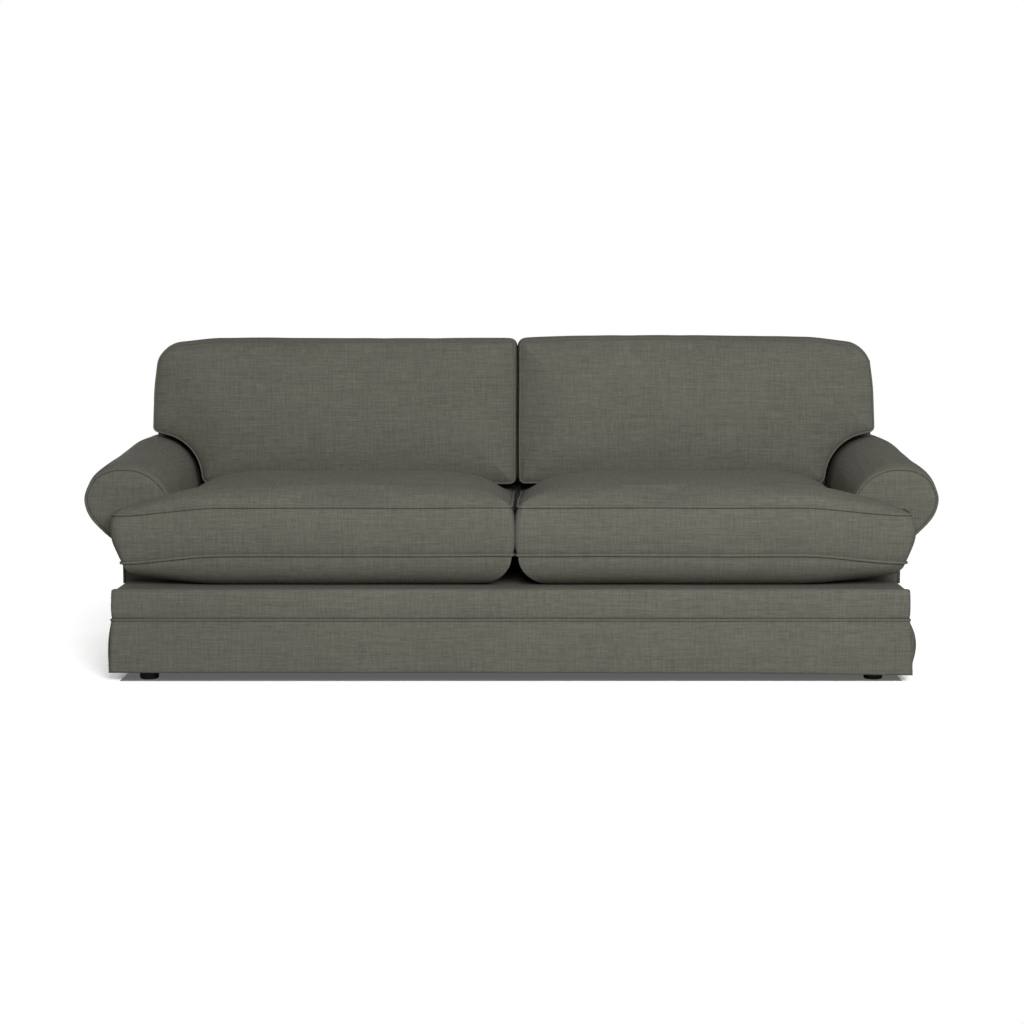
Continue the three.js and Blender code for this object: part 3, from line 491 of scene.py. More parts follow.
class SeatForm:
    """T-shaped seat cushion: p is (outwards, depth), w is height."""

    low_inset = SEAT_LOW_INSET
    low_seam, high_seam = SEAT_LOW, SEAT_HIGH
    crowned_high = True
    groove, bead = 0.0035, 0.0040
    swells = np.array([0.0, 0.0, 1.0])
    inner_corner, front_corner, ear_back_corner, throat, rear_corner = 0.018, 0.026, 0.030, 0.020, 0.030
    pressed_reach, ear_reach, seam_relief = 0.16, 0.12, 0.0043
    sag, sag_reach, sag_start, sag_end, opening = 0.020, 0.12, -0.30, 0.08, 0.003

    def __init__(self, sign):
        self.sign = sign
        self.inner = sign * SPLIT + BULGE + TOUCH
        self.outer = ARM_INNER - BULGE - TOUCH
        front, ear_back = FRONT + BULGE + TOUCH, ARM_FRONT - BULGE - TOUCH
        self.outline = Outline([
            (self.inner, front, self.inner_corner), (SEAT_EAR, front, self.front_corner),
            (SEAT_EAR, ear_back, self.ear_back_corner), (self.outer, ear_back, self.throat),
            (self.outer, SEAT_REAR, self.rear_corner), (self.inner, SEAT_REAR, self.inner_corner)])
        self.middle = np.array([(self.inner + self.outer) / 2, (front + ear_back) / 2])
        self.ring_reach = (ear_back - front) / 2 - RING_MARGIN

    def ear(self, p):
        return smooth_share(p[:, 0], self.outer - (SEAT_EAR - self.outer), SEAT_EAR)

    def shift(self, p):
        return -SEAT_DROOP * self.ear(p)

    def low(self, p, distance):
        depth = (SEAT_LOW - DECK_TOP - TOUCH) * (1 - SEAT_EAR_UNDER * self.ear(p))
        return SEAT_LOW + self.shift(p) - depth * dome(distance, SEAT_UNDER_REACH)

    def high(self, p, distance):
        """Crowned face with its crest in front of the back cushion, and the hollow that this one presses."""
        across = (p[:, 0] - (self.inner + self.outer) / 2) / ((self.outer - self.inner) / 2)
        broad = SEAT_BROAD * np.maximum(1 - across ** 2, 0)
        crown = START_CROWN * (SEAT_CROWN + broad - EAR_FLATTER * self.ear(p))
        crest = smooth_share(p[:, 1], SEAT_CREST_START, SEAT_CREST_AT)
        crest *= 1 - smooth_share(p[:, 1], SEAT_CREST_AT, REST_START)
        crown += SEAT_CREST * crest * (1 - self.ear(p))
        rise = SEAT_HIGH + self.shift(p) + crown * dome(distance, SEAT_REACH)
        slope = (REST_END - REST_START) / SEAT_CROWN
        wall = REST_HEIGHT - TOUCH + np.maximum(REST_END - p[:, 1], 0) / slope
        return np.where(p[:, 1] > REST_START - 0.05, np.minimum(rise, wall), rise)

    def place(self, p, w):
        """Worn shape: the low seam is drawn in at the ear and pressed to the split, which sags behind."""
        down = np.clip((SEAT_HIGH - w) / (SEAT_HIGH - SEAT_LOW), 0, 1)
        near_split = 1 - smooth_share(p[:, 0], self.inner, self.inner + self.pressed_reach)
        at_ear = smooth_share(p[:, 0], SEAT_EAR - self.ear_reach, SEAT_EAR)
        opened = 1 - smooth_share(p[:, 0], self.inner, self.inner + self.sag_reach)
        opened *= smooth_share(p[:, 1], self.sag_start, self.sag_end)
        x = p[:, 0] - near_split * down * (SEAT_LOW_INSET + BULGE - self.seam_relief)
        x = np.maximum(x, self.inner - BULGE) + self.opening * opened * (1 - down)
        shifted, bulged, drawn = EAR_FULLNESS[self.sign]
        x += at_ear * (shifted + bulged * np.sin(math.pi * down) + drawn * down ** 3)
        return columns(self.sign * x, p[:, 1], w - self.sag * opened * (1 - down))

    def pressed(self, co):
        return (co[:, 1] > REST_START - 0.03) & (co[:, 2] > SEAT_HIGH - 0.01)


class BackForm:
    """Back cushion: p is (outwards, height), w is depth behind its front seam's plane."""

    low_inset = 0.0
    low_seam, high_seam = 0.0, BACK_BOXING
    crowned_high = False
    groove, bead = 0.0012, 0.0028
    swells = np.array([0.0, -1.0, 0.0])
    inner_corner, foot_corner, arm_curve, ear_corner, top_corner = 0.014, 0.020, 0.142, 0.014, 0.060
    worn_from, droop_reach, droop_in, droop_down = 0.76, 0.20, 0.009, 0.014

    def __init__(self, sign):
        self.sign = sign
        self.plump = 0.009 if sign > 0 else 0.0
        self.inner = sign * SPLIT + BULGE + TOUCH
        bottom, foot = REST_HEIGHT + BULGE, ARM_INNER - 0.025
        self.outline = Outline([
            (self.inner, bottom, self.inner_corner), (foot, bottom, self.foot_corner),
            (ARM_INNER - 0.004, BACK_EAR_BOTTOM - 0.035, self.arm_curve),
            (BACK_EAR + BACK_EAR_SPREAD, BACK_EAR_BOTTOM, self.ear_corner),
            (BACK_EAR, BACK_TOP, self.top_corner), (self.inner, BACK_TOP, self.inner_corner)])
        self.middle = np.array([(self.inner + foot) / 2, (BACK_EAR_BOTTOM + BACK_TOP) / 2])
        self.ring_reach = (BACK_TOP - BACK_EAR_BOTTOM) / 2 - RING_MARGIN
        self.rear_crown = inside_back(REST_HEIGHT) - self.face(REST_HEIGHT) - BACK_BOXING - TOUCH

    def face(self, z):
        return BACK_FRONT + (z - REST_HEIGHT) * LEAN

    def shift(self, p):
        return np.zeros(len(p))

    def low(self, p, distance):
        return -START_CROWN * BACK_CROWN * dome(distance, BACK_REACH)

    def high(self, p, distance):
        return BACK_BOXING + self.rear_crown * dome(distance, BACK_REACH)

    def place(self, p, w):
        """Worn shape: the top swells on one side, and its outer corner droops."""
        across = np.clip((p[:, 0] - self.inner) / (BACK_EAR - self.inner), 0, 1)
        high = smooth_share(p[:, 1], self.worn_from, BACK_TOP)
        rise = self.plump * np.sin(math.pi * across ** 0.75) * high
        droop = smooth_share(p[:, 0], BACK_EAR - self.droop_reach, BACK_EAR) * high
        x = p[:, 0] - self.droop_in * droop
        return columns(self.sign * x, self.face(p[:, 1]) + w, p[:, 1] + rise - self.droop_down * droop)

    def pressed(self, co):
        return np.zeros(len(co), bool)


# Rings of a cushion: shares of the way in from the seam, then of the last ring, and heights on the boxing
INSET_SHARES = (0.0, 0.02, 0.05, 0.10, 0.17, 0.26, 0.37, 0.49, 0.62, 0.75, 0.88, 1.0)
SHRINK_SHARES = (0.9, 0.78, 0.64, 0.5, 0.36, 0.22, 0.1)
BOXING_STOPS = (0.03, 0.09, 0.2, 0.34, 0.5, 0.66, 0.8, 0.91, 0.97)
TOP_RINGS = len(INSET_SHARES) + len(SHRINK_SHARES)
GROOVE_REACH = 0.05
UNEVEN = (0.26, 0.0016)


def cushion_rings(form):
    """Rings from the middle of the low face, over the boxing, to the middle of the high face."""
    outline = form.outline
    middle = form.middle

    def face_rings(base, height):
        rings = []
        for s in INSET_SHARES:
            p = outline.points(base + s * (form.ring_reach - base))
            rings.append(form.place(p, height(p, outline.distance(p, base))))
        for s in SHRINK_SHARES:
            p = middle + (outline.points(form.ring_reach) - middle) * s
            rings.append(form.place(p, height(p, outline.distance(p, base))))
        return rings

    boxing = []
    for t in BOXING_STOPS:
        pinch = form.groove * math.exp(-(min(t, 1 - t) / GROOVE_REACH) ** 2)
        p = outline.points(form.low_inset * (1 - t) - BULGE * 4 * t * (1 - t) + pinch)
        boxing.append(form.place(p, form.low_seam + (form.high_seam - form.low_seam) * t + form.shift(p)))
    low, high = face_rings(form.low_inset + form.groove, form.low), face_rings(form.groove, form.high)
    return low[::-1] + boxing + high


def seam_path(form, inset, seam):
    p = form.outline.points(inset)
    return form.place(p, seam + form.shift(p))


def patch_of(piece, form):
    """Copy of the crowned face and the boxing, with each point's number in the whole cushion."""
    count = piece["ring_count"]
    seams = (TOP_RINGS - 1, TOP_RINGS + len(BOXING_STOPS))
    if form.crowned_high:
        first, last, pole = seams[0], 2 * TOP_RINGS + len(BOXING_STOPS), len(piece.data.vertices) - 1
    else:
        first, last, pole = 0, seams[1] + 1, len(piece.data.vertices) - 2
    mesh = bpy.data.meshes.new(piece.name + "_patch")
    with edited(piece.data, mesh) as work:
        spot = work.verts.layers.int.new("spot")
        for vert in work.verts:
            vert[spot] = vert.index
        outside = [v for v in work.verts if not (first * count <= v[spot] < last * count or v[spot] == pole)]
        bmesh.ops.delete(work, geom=outside, context="VERTS")
    patch = bpy.data.objects.new(piece.name + "_patch", mesh)
    bpy.context.scene.collection.objects.link(patch)
    spots = np.empty(len(mesh.vertices), dtype=np.int32)
    mesh.attributes["spot"].data.foreach_get("value", spots)
    ring = spots // count
    boxing = (ring >= TOP_RINGS - 1) & (ring <= seams[1])
    held = (ring == seams[0]) | (ring == seams[1]) | form.pressed(read_points(mesh))
    held[spots == pole] = False
    return patch, spots, boxing & (spots != pole), held


def blown_up(cushions):
    """Cloth simulation of every cushion at once, each held at its seams and where it rests."""
    scene = bpy.context.scene
    patches = []
    for piece, form in cushions:
        patch, spots, boxing, held = patch_of(piece, form)
        start = evened(patch.data, read_points(patch.data), held | boxing)
        write_points(patch.data, start)
        group = patch.vertex_groups.new(name="held")
        group.add([int(index) for index in np.nonzero(held)[0]], 1.0, "REPLACE")
        modifier = patch.modifiers.new("cloth", "CLOTH")
        cloth = modifier.settings
        cloth.quality = 4
        cloth.mass = 0.25
        cloth.tension_stiffness = cloth.compression_stiffness = 20.0
        cloth.shear_stiffness = 6.0
        cloth.bending_stiffness = 1.0
        cloth.air_damping = 2.0
        cloth.use_pressure = True
        cloth.uniform_pressure_force = 5.0
        cloth.shrink_min = -0.006
        cloth.effector_weights.gravity = 0.0
        cloth.vertex_group_mass = "held"
        modifier.collision_settings.use_collision = False
        modifier.collision_settings.use_self_collision = False
        modifier.point_cache.frame_start = 1
        modifier.point_cache.frame_end = SIMULATED_FRAMES
        patches.append((piece, form, patch, spots, boxing, held, start))
    for step in range(1, SIMULATED_FRAMES + 1):
        scene.frame_set(step)
    graph = bpy.context.evaluated_depsgraph_get()
    for piece, form, patch, spots, boxing, held, start in patches:
        moved = read_points(patch.evaluated_get(graph).data) - start
        whole = read_points(piece.data)
        whole[spots] = start + evened(patch.data, kept_move(form, moved, boxing, held), held)
        write_points(piece.data, whole)
        bpy.data.objects.remove(patch)
    scene.frame_set(1)


def kept_move(form, moved, boxing, held):
    """The crown may swell up to a cap, and the boxing hardly moves, because its neighbours are close."""
    rise = moved @ form.swells
    side = moved - rise[:, None] * form.swells
    reach = np.maximum(np.linalg.norm(side, axis=1), 1e-9)
    side *= (np.minimum(reach, np.where(boxing, MOST_BOXING_MOVE, MOST_SIDE_MOVE)) / reach)[:, None]
    swelled = MOST_SWELL * np.tanh(np.maximum(rise, -MOST_SINK) / MOST_SWELL)
    rise = np.where(boxing, np.clip(rise, -MOST_BOXING_MOVE, MOST_BOXING_MOVE), swelled)
    kept = side + rise[:, None] * form.swells
    kept[held] = 0
    return kept


def evened(mesh, values, held, rounds=6):
    """Values averaged with those of the points next to them, except where the cloth is held."""
    edges = np.empty(len(mesh.edges) * 2, dtype=np.int32)
    mesh.edges.foreach_get("vertices", edges)
    edges = edges.reshape(-1, 2)
    count = np.bincount(edges.ravel(), minlength=len(values))[:, None]
    result = values
    for _ in range(rounds):
        total = np.zeros_like(result)
        np.add.at(total, edges[:, 0], result[edges[:, 1]])
        np.add.at(total, edges[:, 1], result[edges[:, 0]])
        result = np.where(held[:, None], values, result / 2 + total / count / 2)
    return result


def subdivided(piece):
    """One Catmull-Clark step, applied to the mesh. The fans in the middle of both faces are made anew after it."""
    with edited(piece.data) as work:
        work.verts.ensure_lookup_table()
        bmesh.ops.delete(work, geom=work.verts[-2:], context="VERTS")
    modifier = piece.modifiers.new("smooth", "SUBSURF")
    modifier.levels = modifier.render_levels = 1
    graph = bpy.context.evaluated_depsgraph_get()
    mesh = bpy.data.meshes.new_from_object(piece.evaluated_get(graph))
    piece.modifiers.clear()
    with edited(mesh) as work:
        caps = bmesh.ops.holes_fill(work, edges=[e for e in work.edges if e.is_boundary])["faces"]
        bmesh.ops.poke(work, faces=caps)
        bmesh.ops.recalc_face_normals(work, faces=work.faces)
    piece.data = mesh
    mesh.shade_smooth()


def cushion(name, form, body, nodes):
    rings = cushion_rings(form)
    piece = lofted(name, rings, CLOTH, "point")
    piece["ring_count"] = len(rings[0])
    settle(piece, body, "cloth", *nodes)
    for word, inset, seam in (("low", form.low_inset, form.low_seam), ("high", 0.0, form.high_seam)):
        path = softened(seam_path(form, inset, seam), *UNEVEN, form.sign)
        settle(tube(f"{name}_piping_{word}", path, form.bead, PIPING_CLOTH, closed=True), body, "cloth")
    return piece, form


cushions = []
for word, sign in SIDES:
    cushions.append(cushion(f"seat_cushion_{word}", SeatForm(sign), f"seat_cushion_{word}",
                            (f"seat_cushion_cover_{word}", f"seat_cushion_core_{word}")))
    cushions.append(cushion(f"back_cushion_{word}", BackForm(sign), f"back_cushion_{word}",
                            (f"back_cushion_cover_{word}", f"back_cushion_core_{word}")))
blown_up(cushions)
for piece, form in cushions:
    soften_mesh(piece, *UNEVEN, form.sign)
    subdivided(piece)


# Arms

# Roll as shares of its radius from its centre, inner side first
ROLL_SHARES = np.array([
    (-1.13, -0.2), (-1.01, 0.36), (-0.69, 0.75), (-0.29, 0.95), (0.08, 0.985), (0.44, 0.93), (0.77, 0.73),
    (0.963, 0.35), (0.95, 0.04), (0.81, -0.25), (0.52, -0.56), (0.29, -0.76), (0.13, -0.95)])
ROLL_SAMPLES, WALL_STEP, FINE_STEP = 84, 0.014, 0.006

# Arm cover: it tucks in at the piping, then swells over the roll and eases off towards the back
COVER_TUCK, COVER_TUCK_REACH = 0.004, 0.006
COVER_SWELL, COVER_SWELL_START, COVER_SWELL_REACH = 0.007, 0.018, 0.22

# Arm panel: insets of its face's rings, and how far the face stands out
PANEL_INSETS = (0.0095, 0.013, 0.018, 0.024, 0.032, 0.042)
PANEL_EDGE, PANEL_RISE, PANEL_RISE_REACH = 2 * WELT + TOUCH, 0.003, 0.03


def smooth_curve(points, samples):
    """Even samples of a smooth curve through points."""
    result = []
    last = len(points) - 1
    for k in range(samples + 1):
        t = last * k / samples
        i = min(int(t), last - 1)
        t -= i
        p0, p1, p2, p3 = (points[max(i - 1, 0)], points[i], points[i + 1], points[min(i + 2, last)])
        v0, v1 = (p2 - p0) / 2, (p3 - p1) / 2
        cubed, squared = 2 * p1 - 2 * p2 + v0 + v1, -3 * p1 + 3 * p2 - 2 * v0 - v1
        result.append(cubed * t ** 3 + squared * t ** 2 + v0 * t + p1)
    return np.array(result)


INNER_RADIUS = (ROLL_X - ARM_INNER) / -ROLL_SHARES[0, 0]
RADII = columns(np.where(ROLL_SHARES[:, 0] < 0, INNER_RADIUS, ROLL_RADIUS), ROLL_RADIUS)
ROLL = np.array([ROLL_X, ROLL_Z]) + smooth_curve(ROLL_SHARES * RADII, ROLL_SAMPLES)


def arm_line():
    """Arm section from the foot of its inner wall, over the roll, to the foot of its outer wall."""
    under = np.array([HALF_BASE, ROLL[-1][1] - ROLL_RADIUS * UNDER_ROLL_SHARE])
    inner = along_line((ARM_INNER, ARM_BOTTOM), ROLL[0], WALL_STEP)[:-1]
    outer = [along_line(ROLL[-1], under, FINE_STEP)[1:], along_line(under, (HALF_BASE, ARM_BOTTOM), WALL_STEP)[1:]]
    return inner, ROLL, np.concatenate(outer)


def moved_inwards(line, inset):
    """Open line moved to its right-hand side. inset is one length, or one for each point."""
    inset = np.broadcast_to(inset, len(line))
    ahead = np.concatenate([line[1:] - line[:-1], line[-1:] - line[-2:-1]])
    behind = np.concatenate([line[1:2] - line[:1], line[1:] - line[:-1]])
    ahead /= np.linalg.norm(ahead, axis=1)[:, None]
    behind /= np.linalg.norm(behind, axis=1)[:, None]
    turn = columns(ahead[:, 1] + behind[:, 1], -ahead[:, 0] - behind[:, 0])
    return line + turn * (inset / (1 + (ahead * behind).sum(1)))[:, None]


def climbed(line, y):
    """Arm section where it has climbed towards the back: the roll's outer side slims and lags behind."""
    share = np.clip((y - ARM_FRONT) / (ARM_CLIMB_END - ARM_FRONT), 0, 1)
    rolled = line[:, 1] > ROLL[-1][1] - 0.001
    out = np.maximum(line[:, 0] - ROLL_X, 0) * rolled
    above_foot = line[:, 1] > ARM_BOTTOM + 0.001
    rise = ARM_CLIMB * share * (1 - ROLL_SAG * out / ROLL_RADIUS) * above_foot
    return line + columns(-out * ROLL_TAPER * share, rise)


def arm_cover(word, sign):
    inner, roll, outer = arm_line()
    line = np.concatenate([inner, roll, outer])
    share = np.zeros(len(line))
    around = np.linspace(0, 1, len(roll))
    swelling = smooth_share(around, 0.10, 0.4) * (1 - smooth_share(around, 0.75, 1.0))
    share[len(inner):len(inner) + len(roll)] = swelling
    start = ARM_FRONT + 2 * WELT
    rings = []
    for t in np.concatenate([[0, 0.004, 0.012, 0.025, 0.045], np.linspace(0.08, 1, 34)]):
        y = start + (inside_back(line[:, 1] + ARM_CLIMB) - TOUCH - start) * t
        behind = y - start
        tuck = COVER_TUCK * np.exp(-(behind / COVER_TUCK_REACH) ** 2)
        swell = share * COVER_SWELL * (1 - np.exp(-(behind / COVER_SWELL_START) ** 2))
        swell *= np.exp(-(behind / COVER_SWELL_REACH) ** 2)
        section = moved_inwards(climbed(line, y), tuck - swell)
        rings.append(columns(sign * section[:, 0], y, section[:, 1]))
    piece = lofted(f"arm_{word}_upholstery", rings, ROLL_CLOTH)
    soften_mesh(piece, 0.11, 0.0018, 3.0 * sign)
    upholstery(piece, 0.9, f"arm_cover_{word}", f"arm_pad_{word}")


def arm_panel(word, sign):
    line = np.concatenate(arm_line())
    edge_y = ARM_FRONT + PANEL_RISE
    stops = [(PANEL_EDGE, ARM_FRONT + PANEL_THICKNESS), (PANEL_EDGE, edge_y)]
    for inset in PANEL_INSETS:
        stops.append((inset, edge_y - PANEL_RISE * float(dome(np.array(inset - PANEL_EDGE), PANEL_RISE_REACH))))
    rings = []
    for inset, y in stops:
        section = moved_inwards(line, inset)
        section[:, 1] = np.maximum(section[:, 1], ARM_BOTTOM)
        section[0, 1] = section[-1, 1] = ARM_BOTTOM
        rings.append(columns(sign * section[:, 0], y, section[:, 1]))
    piece = lofted(f"arm_{word}_panel", rings, CLOTH)
    upholstery(piece, 0.9, f"arm_front_panel_{word}")


def arm_piping(word, sign):
    section = moved_inwards(np.concatenate(arm_line()), WELT)
    path = columns(sign * section[:, 0], ARM_FRONT + WELT, section[:, 1])
    settle(tube(f"arm_{word}_piping", path, ARM_BEAD, PIPING_CLOTH), "frame", "cloth", f"arm_welt_{word}")


for word, sign in SIDES:
    arm_cover(word, sign)
    arm_panel(word, sign)
    arm_piping(word, sign)


# Base, skirt and back

def slab(name, corners, place, low, high, edge, material, crown=0.0, reach=0.12):
    """Padded slab on a rounded outline, between two levels, with eased edges and a lightly crowned high face."""
    outline = Outline(corners, 0.006, 0.02)
    rings = []

    def ring(inset, level):
        p = outline.points(inset)
        rings.append(place(p, level))

    ring(edge * 1.6, low)
    for angle in np.linspace(0, math.pi / 2, 5):
        ring(edge * (1 - math.sin(angle)), low + edge * (1 - math.cos(angle)))
    for angle in np.linspace(0, math.pi / 2, 6):
        ring(edge * (1 - math.cos(angle)), high - edge * (1 - math.sin(angle)))
    for inset in np.linspace(edge, reach * 0.5, 6)[1:]:
        p = outline.points(inset)
        rings.append(place(p, high + crown * dome(outline.distance(p) - edge, reach)))
    return lofted(name, rings, material)


def flat_place(p, w):
    return columns(p[:, 0], p[:, 1], w)


def band_line(top, crest, crown=0.0025):
    """Band section as (outwards, height), from the foot of its inner face to the crest of it."""
    thin = BAND_THICKNESS - SKIRT_THICKNESS - TOUCH
    points = [(0.0, RAIL_BOTTOM), (thin, RAIL_BOTTOM), (thin, BAND_STEP)]
    for share in np.linspace(0, 1, 9):
        z = BAND_STEP + (top - 1.6 * BAND_EDGE - BAND_STEP) * share
        swell = crown * math.sin(math.pi * share) ** 0.8 if 0 < share < 1 else 0.0
        points.append((BAND_THICKNESS + swell, z))
    for angle in np.linspace(0, math.pi / 2, 9)[1:]:
        points.append((BAND_THICKNESS * math.cos(angle), z + (crest - z) * math.sin(angle)))
    return np.array(points)


def across_band(name, sign, top, crest, node):
    """Band along the whole front or back, turned in at its ends."""
    line = band_line(top, crest)
    half = HALF_BASE
    near_end = np.array([0.0, 0.001, 0.003, 0.006, 0.010])
    stops = [-half + near_end, np.linspace(-half + 0.03, half - 0.03, 80), half - near_end[::-1]]
    above_foot, low = line[:, 0] > 0.005, line[:, 1] < BAND_STEP + 1e-6
    rings = []
    for x in np.concatenate(stops):
        ease = 0.006 * (1 - dome(np.array(half - abs(x)), 0.012))
        outwards = np.maximum(line[:, 0] - ease * above_foot, 0)
        xs = np.where(low, np.clip(x, CORNER_GAP - half, half - CORNER_GAP), x)
        zs = line[:, 1] - ease * (line[:, 1] > top - 0.02)
        rings.append(columns(xs, sign * (BACK - BAND_THICKNESS + outwards), zs))
    piece = lofted(name, rings, CLOTH)
    soften_mesh(piece, 0.22, 0.0010, 5.0 * sign)
    upholstery(piece, 0.95, node)


def side_band(word, sign):
    line = band_line(BAND_TOP, BAND_TOP)
    end = BACK - BAND_THICKNESS - TOUCH
    xs = sign * (HALF_BASE - BAND_THICKNESS + line[:, 0])
    rings = [columns(xs, y, line[:, 1]) for y in np.linspace(-end, end, 46)]
    piece = lofted(f"base_{word}_upholstery", rings, ROLL_CLOTH)
    upholstery(piece, 0.95, f"base_band_{word}")


across_band("base_front_upholstery", -1, BAND_TOP, DECK_TOP - 0.0005, "base_front_band")
across_band("outside_back_upholstery", 1, PAD_TOP, PAD_TOP, "outside_back_panel")
for word, sign in SIDES:
    side_band(word, sign)


def base_piping(word, start, end):
    path = softened(along_line(start, end, 0.012), 0.3, 0.0006)
    settle(tube(f"base_piping_{word}", path, BASE_BEAD, PIPING_CLOTH), "frame", "cloth", f"base_welt_{word}")


welt_out, welt_z, welt_end = SKIRT_THICKNESS - WELT, SKIRT_TOP + WELT, BACK - WELT_END_GAP
for word, y in (("front", FRONT + welt_out), ("rear", BACK - welt_out)):
    base_piping(word, (-HALF_BASE, y, welt_z), (HALF_BASE, y, welt_z))
for word, sign in SIDES:
    x = sign * (HALF_BASE - welt_out)
    base_piping(word, (x, -welt_end, welt_z), (x, welt_end, welt_z))


LINING_GAP = 0.0028
HEM, HEM_START = 0.0006, 0.86


def skirt(side, start, end, outward, flare, seed, spread=0.0, dip=0.0):
    """Hanging panel of lined cloth with a turned hem. flare gives its outward reach by (along, down)."""
    start, end, outward = (np.asarray(v, float) for v in (start, end, outward))
    run = end - start
    steps = max(20, int(np.linalg.norm(run) / 0.012))
    rows = 22
    height = SKIRT_TOP - SKIRT_BOTTOM
    sheet_front, sheet_back = [], []
    for c in range(steps + 1):
        along = c / steps
        for r in range(rows + 1):
            down = r / rows
            out = flare(along, down) + 0.0012 * down * noise.noise(Vector((along * 17 + seed, down * 2, seed)))
            wider = spread * down * (2 * along - 1) ** 5
            base = start + run * (along + wider) + (0, 0, -height * down * (1 + dip * along ** 6))
            hem = HEM * (down > HEM_START)
            sheet_front.append(base + outward * (out + hem))
            sheet_back.append(base + outward * (out - LINING_GAP - hem))
    offset = (steps + 1) * (rows + 1)
    faces = []
    for a, b, c, d in ring_faces(steps + 1, rows + 1, wrap=False):
        faces += [(a, b, c, d), (offset + a, offset + d, offset + c, offset + b)]
    rim = [c * (rows + 1) for c in range(steps + 1)]
    rim += [steps * (rows + 1) + r for r in range(1, rows + 1)]
    rim += [c * (rows + 1) + rows for c in range(steps - 1, -1, -1)]
    rim += list(range(rows - 1, 0, -1))
    faces += [(a, b, offset + b, offset + a) for a, b in zip(rim, rim[1:] + rim[:1])]
    piece = mesh_piece(f"skirt_{side}_cloth", sheet_front + sheet_back, faces, CLOTH)
    settle(piece, "frame", "cloth", f"skirt_{side}")


def shallow_waves(along, down):
    return 0.004 * math.sin(math.pi * down) + 0.0015 * down * (1 - math.cos(10 * math.pi * along))


def bellied_at_front(along, down):
    """Stands out most near the open front corner, as the photograph shows on the right."""
    belly = 0.004 + 0.019 * min(along / 0.04, 1) * (1 - along) ** 3
    return belly * math.sin(math.pi * down ** 0.9) + 0.008 * down


def flared(along, down):
    return 0.006 * math.sin(math.pi * down ** 0.9) + 0.009 * down


def at_head(x, y):
    return x * HALF_BASE, y, SKIRT_TOP


corner_y = BACK - CORNER_GAP
skirt("front", at_head(-1, FRONT), at_head(1, FRONT), (0, -1, 0), shallow_waves, 1.0, spread=0.004, dip=0.05)
skirt("rear", at_head(1, BACK), at_head(-1, BACK), (0, 1, 0), shallow_waves, 2.0, spread=0.004)
skirt("right", at_head(1, -corner_y), at_head(1, corner_y), (1, 0, 0), bellied_at_front, 3.0)
skirt("left", at_head(-1, corner_y), at_head(-1, -corner_y), (-1, 0, 0), flared, 4.0)

rail_outer = HALF_BASE - BAND_THICKNESS - TOUCH
neck = ARM_INNER - TOUCH
deck_front, deck_neck = FRONT + BAND_THICKNESS + TOUCH, ARM_FRONT - TOUCH
deck_rear = INSIDE_BACK + PAD_THICKNESS
deck = slab("seat_deck_cloth", [
    (-rail_outer, deck_front, 0.006), (rail_outer, deck_front, 0.006), (rail_outer, deck_neck, 0.006),
    (neck, deck_neck, 0.004), (neck, deck_rear, 0.004), (-neck, deck_rear, 0.004), (-neck, deck_neck, 0.004),
    (-rail_outer, deck_neck, 0.006)], flat_place, DECK_TOP - DECK_THICKNESS, DECK_TOP, 0.002, CLOTH)
upholstery(deck, 0.9, "seat_deck")


def lean_place(p, w):
    return columns(p[:, 0], inside_back(p[:, 1]) + PAD_THICKNESS - w, p[:, 1])


inside = slab("inside_back_upholstery", [
    (-HALF_BASE, DECK_TOP + TOUCH, 0.004), (HALF_BASE, DECK_TOP + TOUCH, 0.004),
    (HALF_BASE, PAD_TOP, 0.004), (-HALF_BASE, PAD_TOP, 0.004)], lean_place, 0.0, PAD_THICKNESS, 0.007, CLOTH)
upholstery(inside, 0.9, "inside_back_pad")

side_start, side_end = PAD_THICKNESS + TOUCH, BACK - BAND_THICKNESS - TOUCH
for word, sign in SIDES:
    def side_place(p, w, sign=sign):
        return columns(sign * (HALF_BASE - BAND_THICKNESS + w), p[:, 0], p[:, 1])

    panel = slab(f"back_side_{word}_upholstery", [
        (inside_back(ARM_BOTTOM) + side_start, ARM_BOTTOM, 0.003), (side_end, ARM_BOTTOM, 0.003),
        (side_end, PAD_TOP, 0.003), (inside_back(PAD_TOP) + side_start, PAD_TOP, 0.003)],
        side_place, 0.0, BAND_THICKNESS, 0.004, ROLL_CLOTH, reach=0.04)
    upholstery(panel, 0.95, f"back_side_{word}")

cap_low, cap_front = PAD_TOP + TOUCH, inside_back(PAD_TOP + TOUCH)
cap = slab("back_top_upholstery", [
    (-HALF_BASE, cap_front, 0.008), (HALF_BASE, cap_front, 0.008),
    (HALF_BASE, BACK, 0.008), (-HALF_BASE, BACK, 0.008)],
    flat_place, cap_low, cap_low + CAP_THICKNESS, 0.006, CLOTH, 0.003, 0.06)
upholstery(cap, 0.95, "back_top_cap")


# Dust cover and feet

COVER_NOTCH, COVER_SAG = 0.110, 0.004


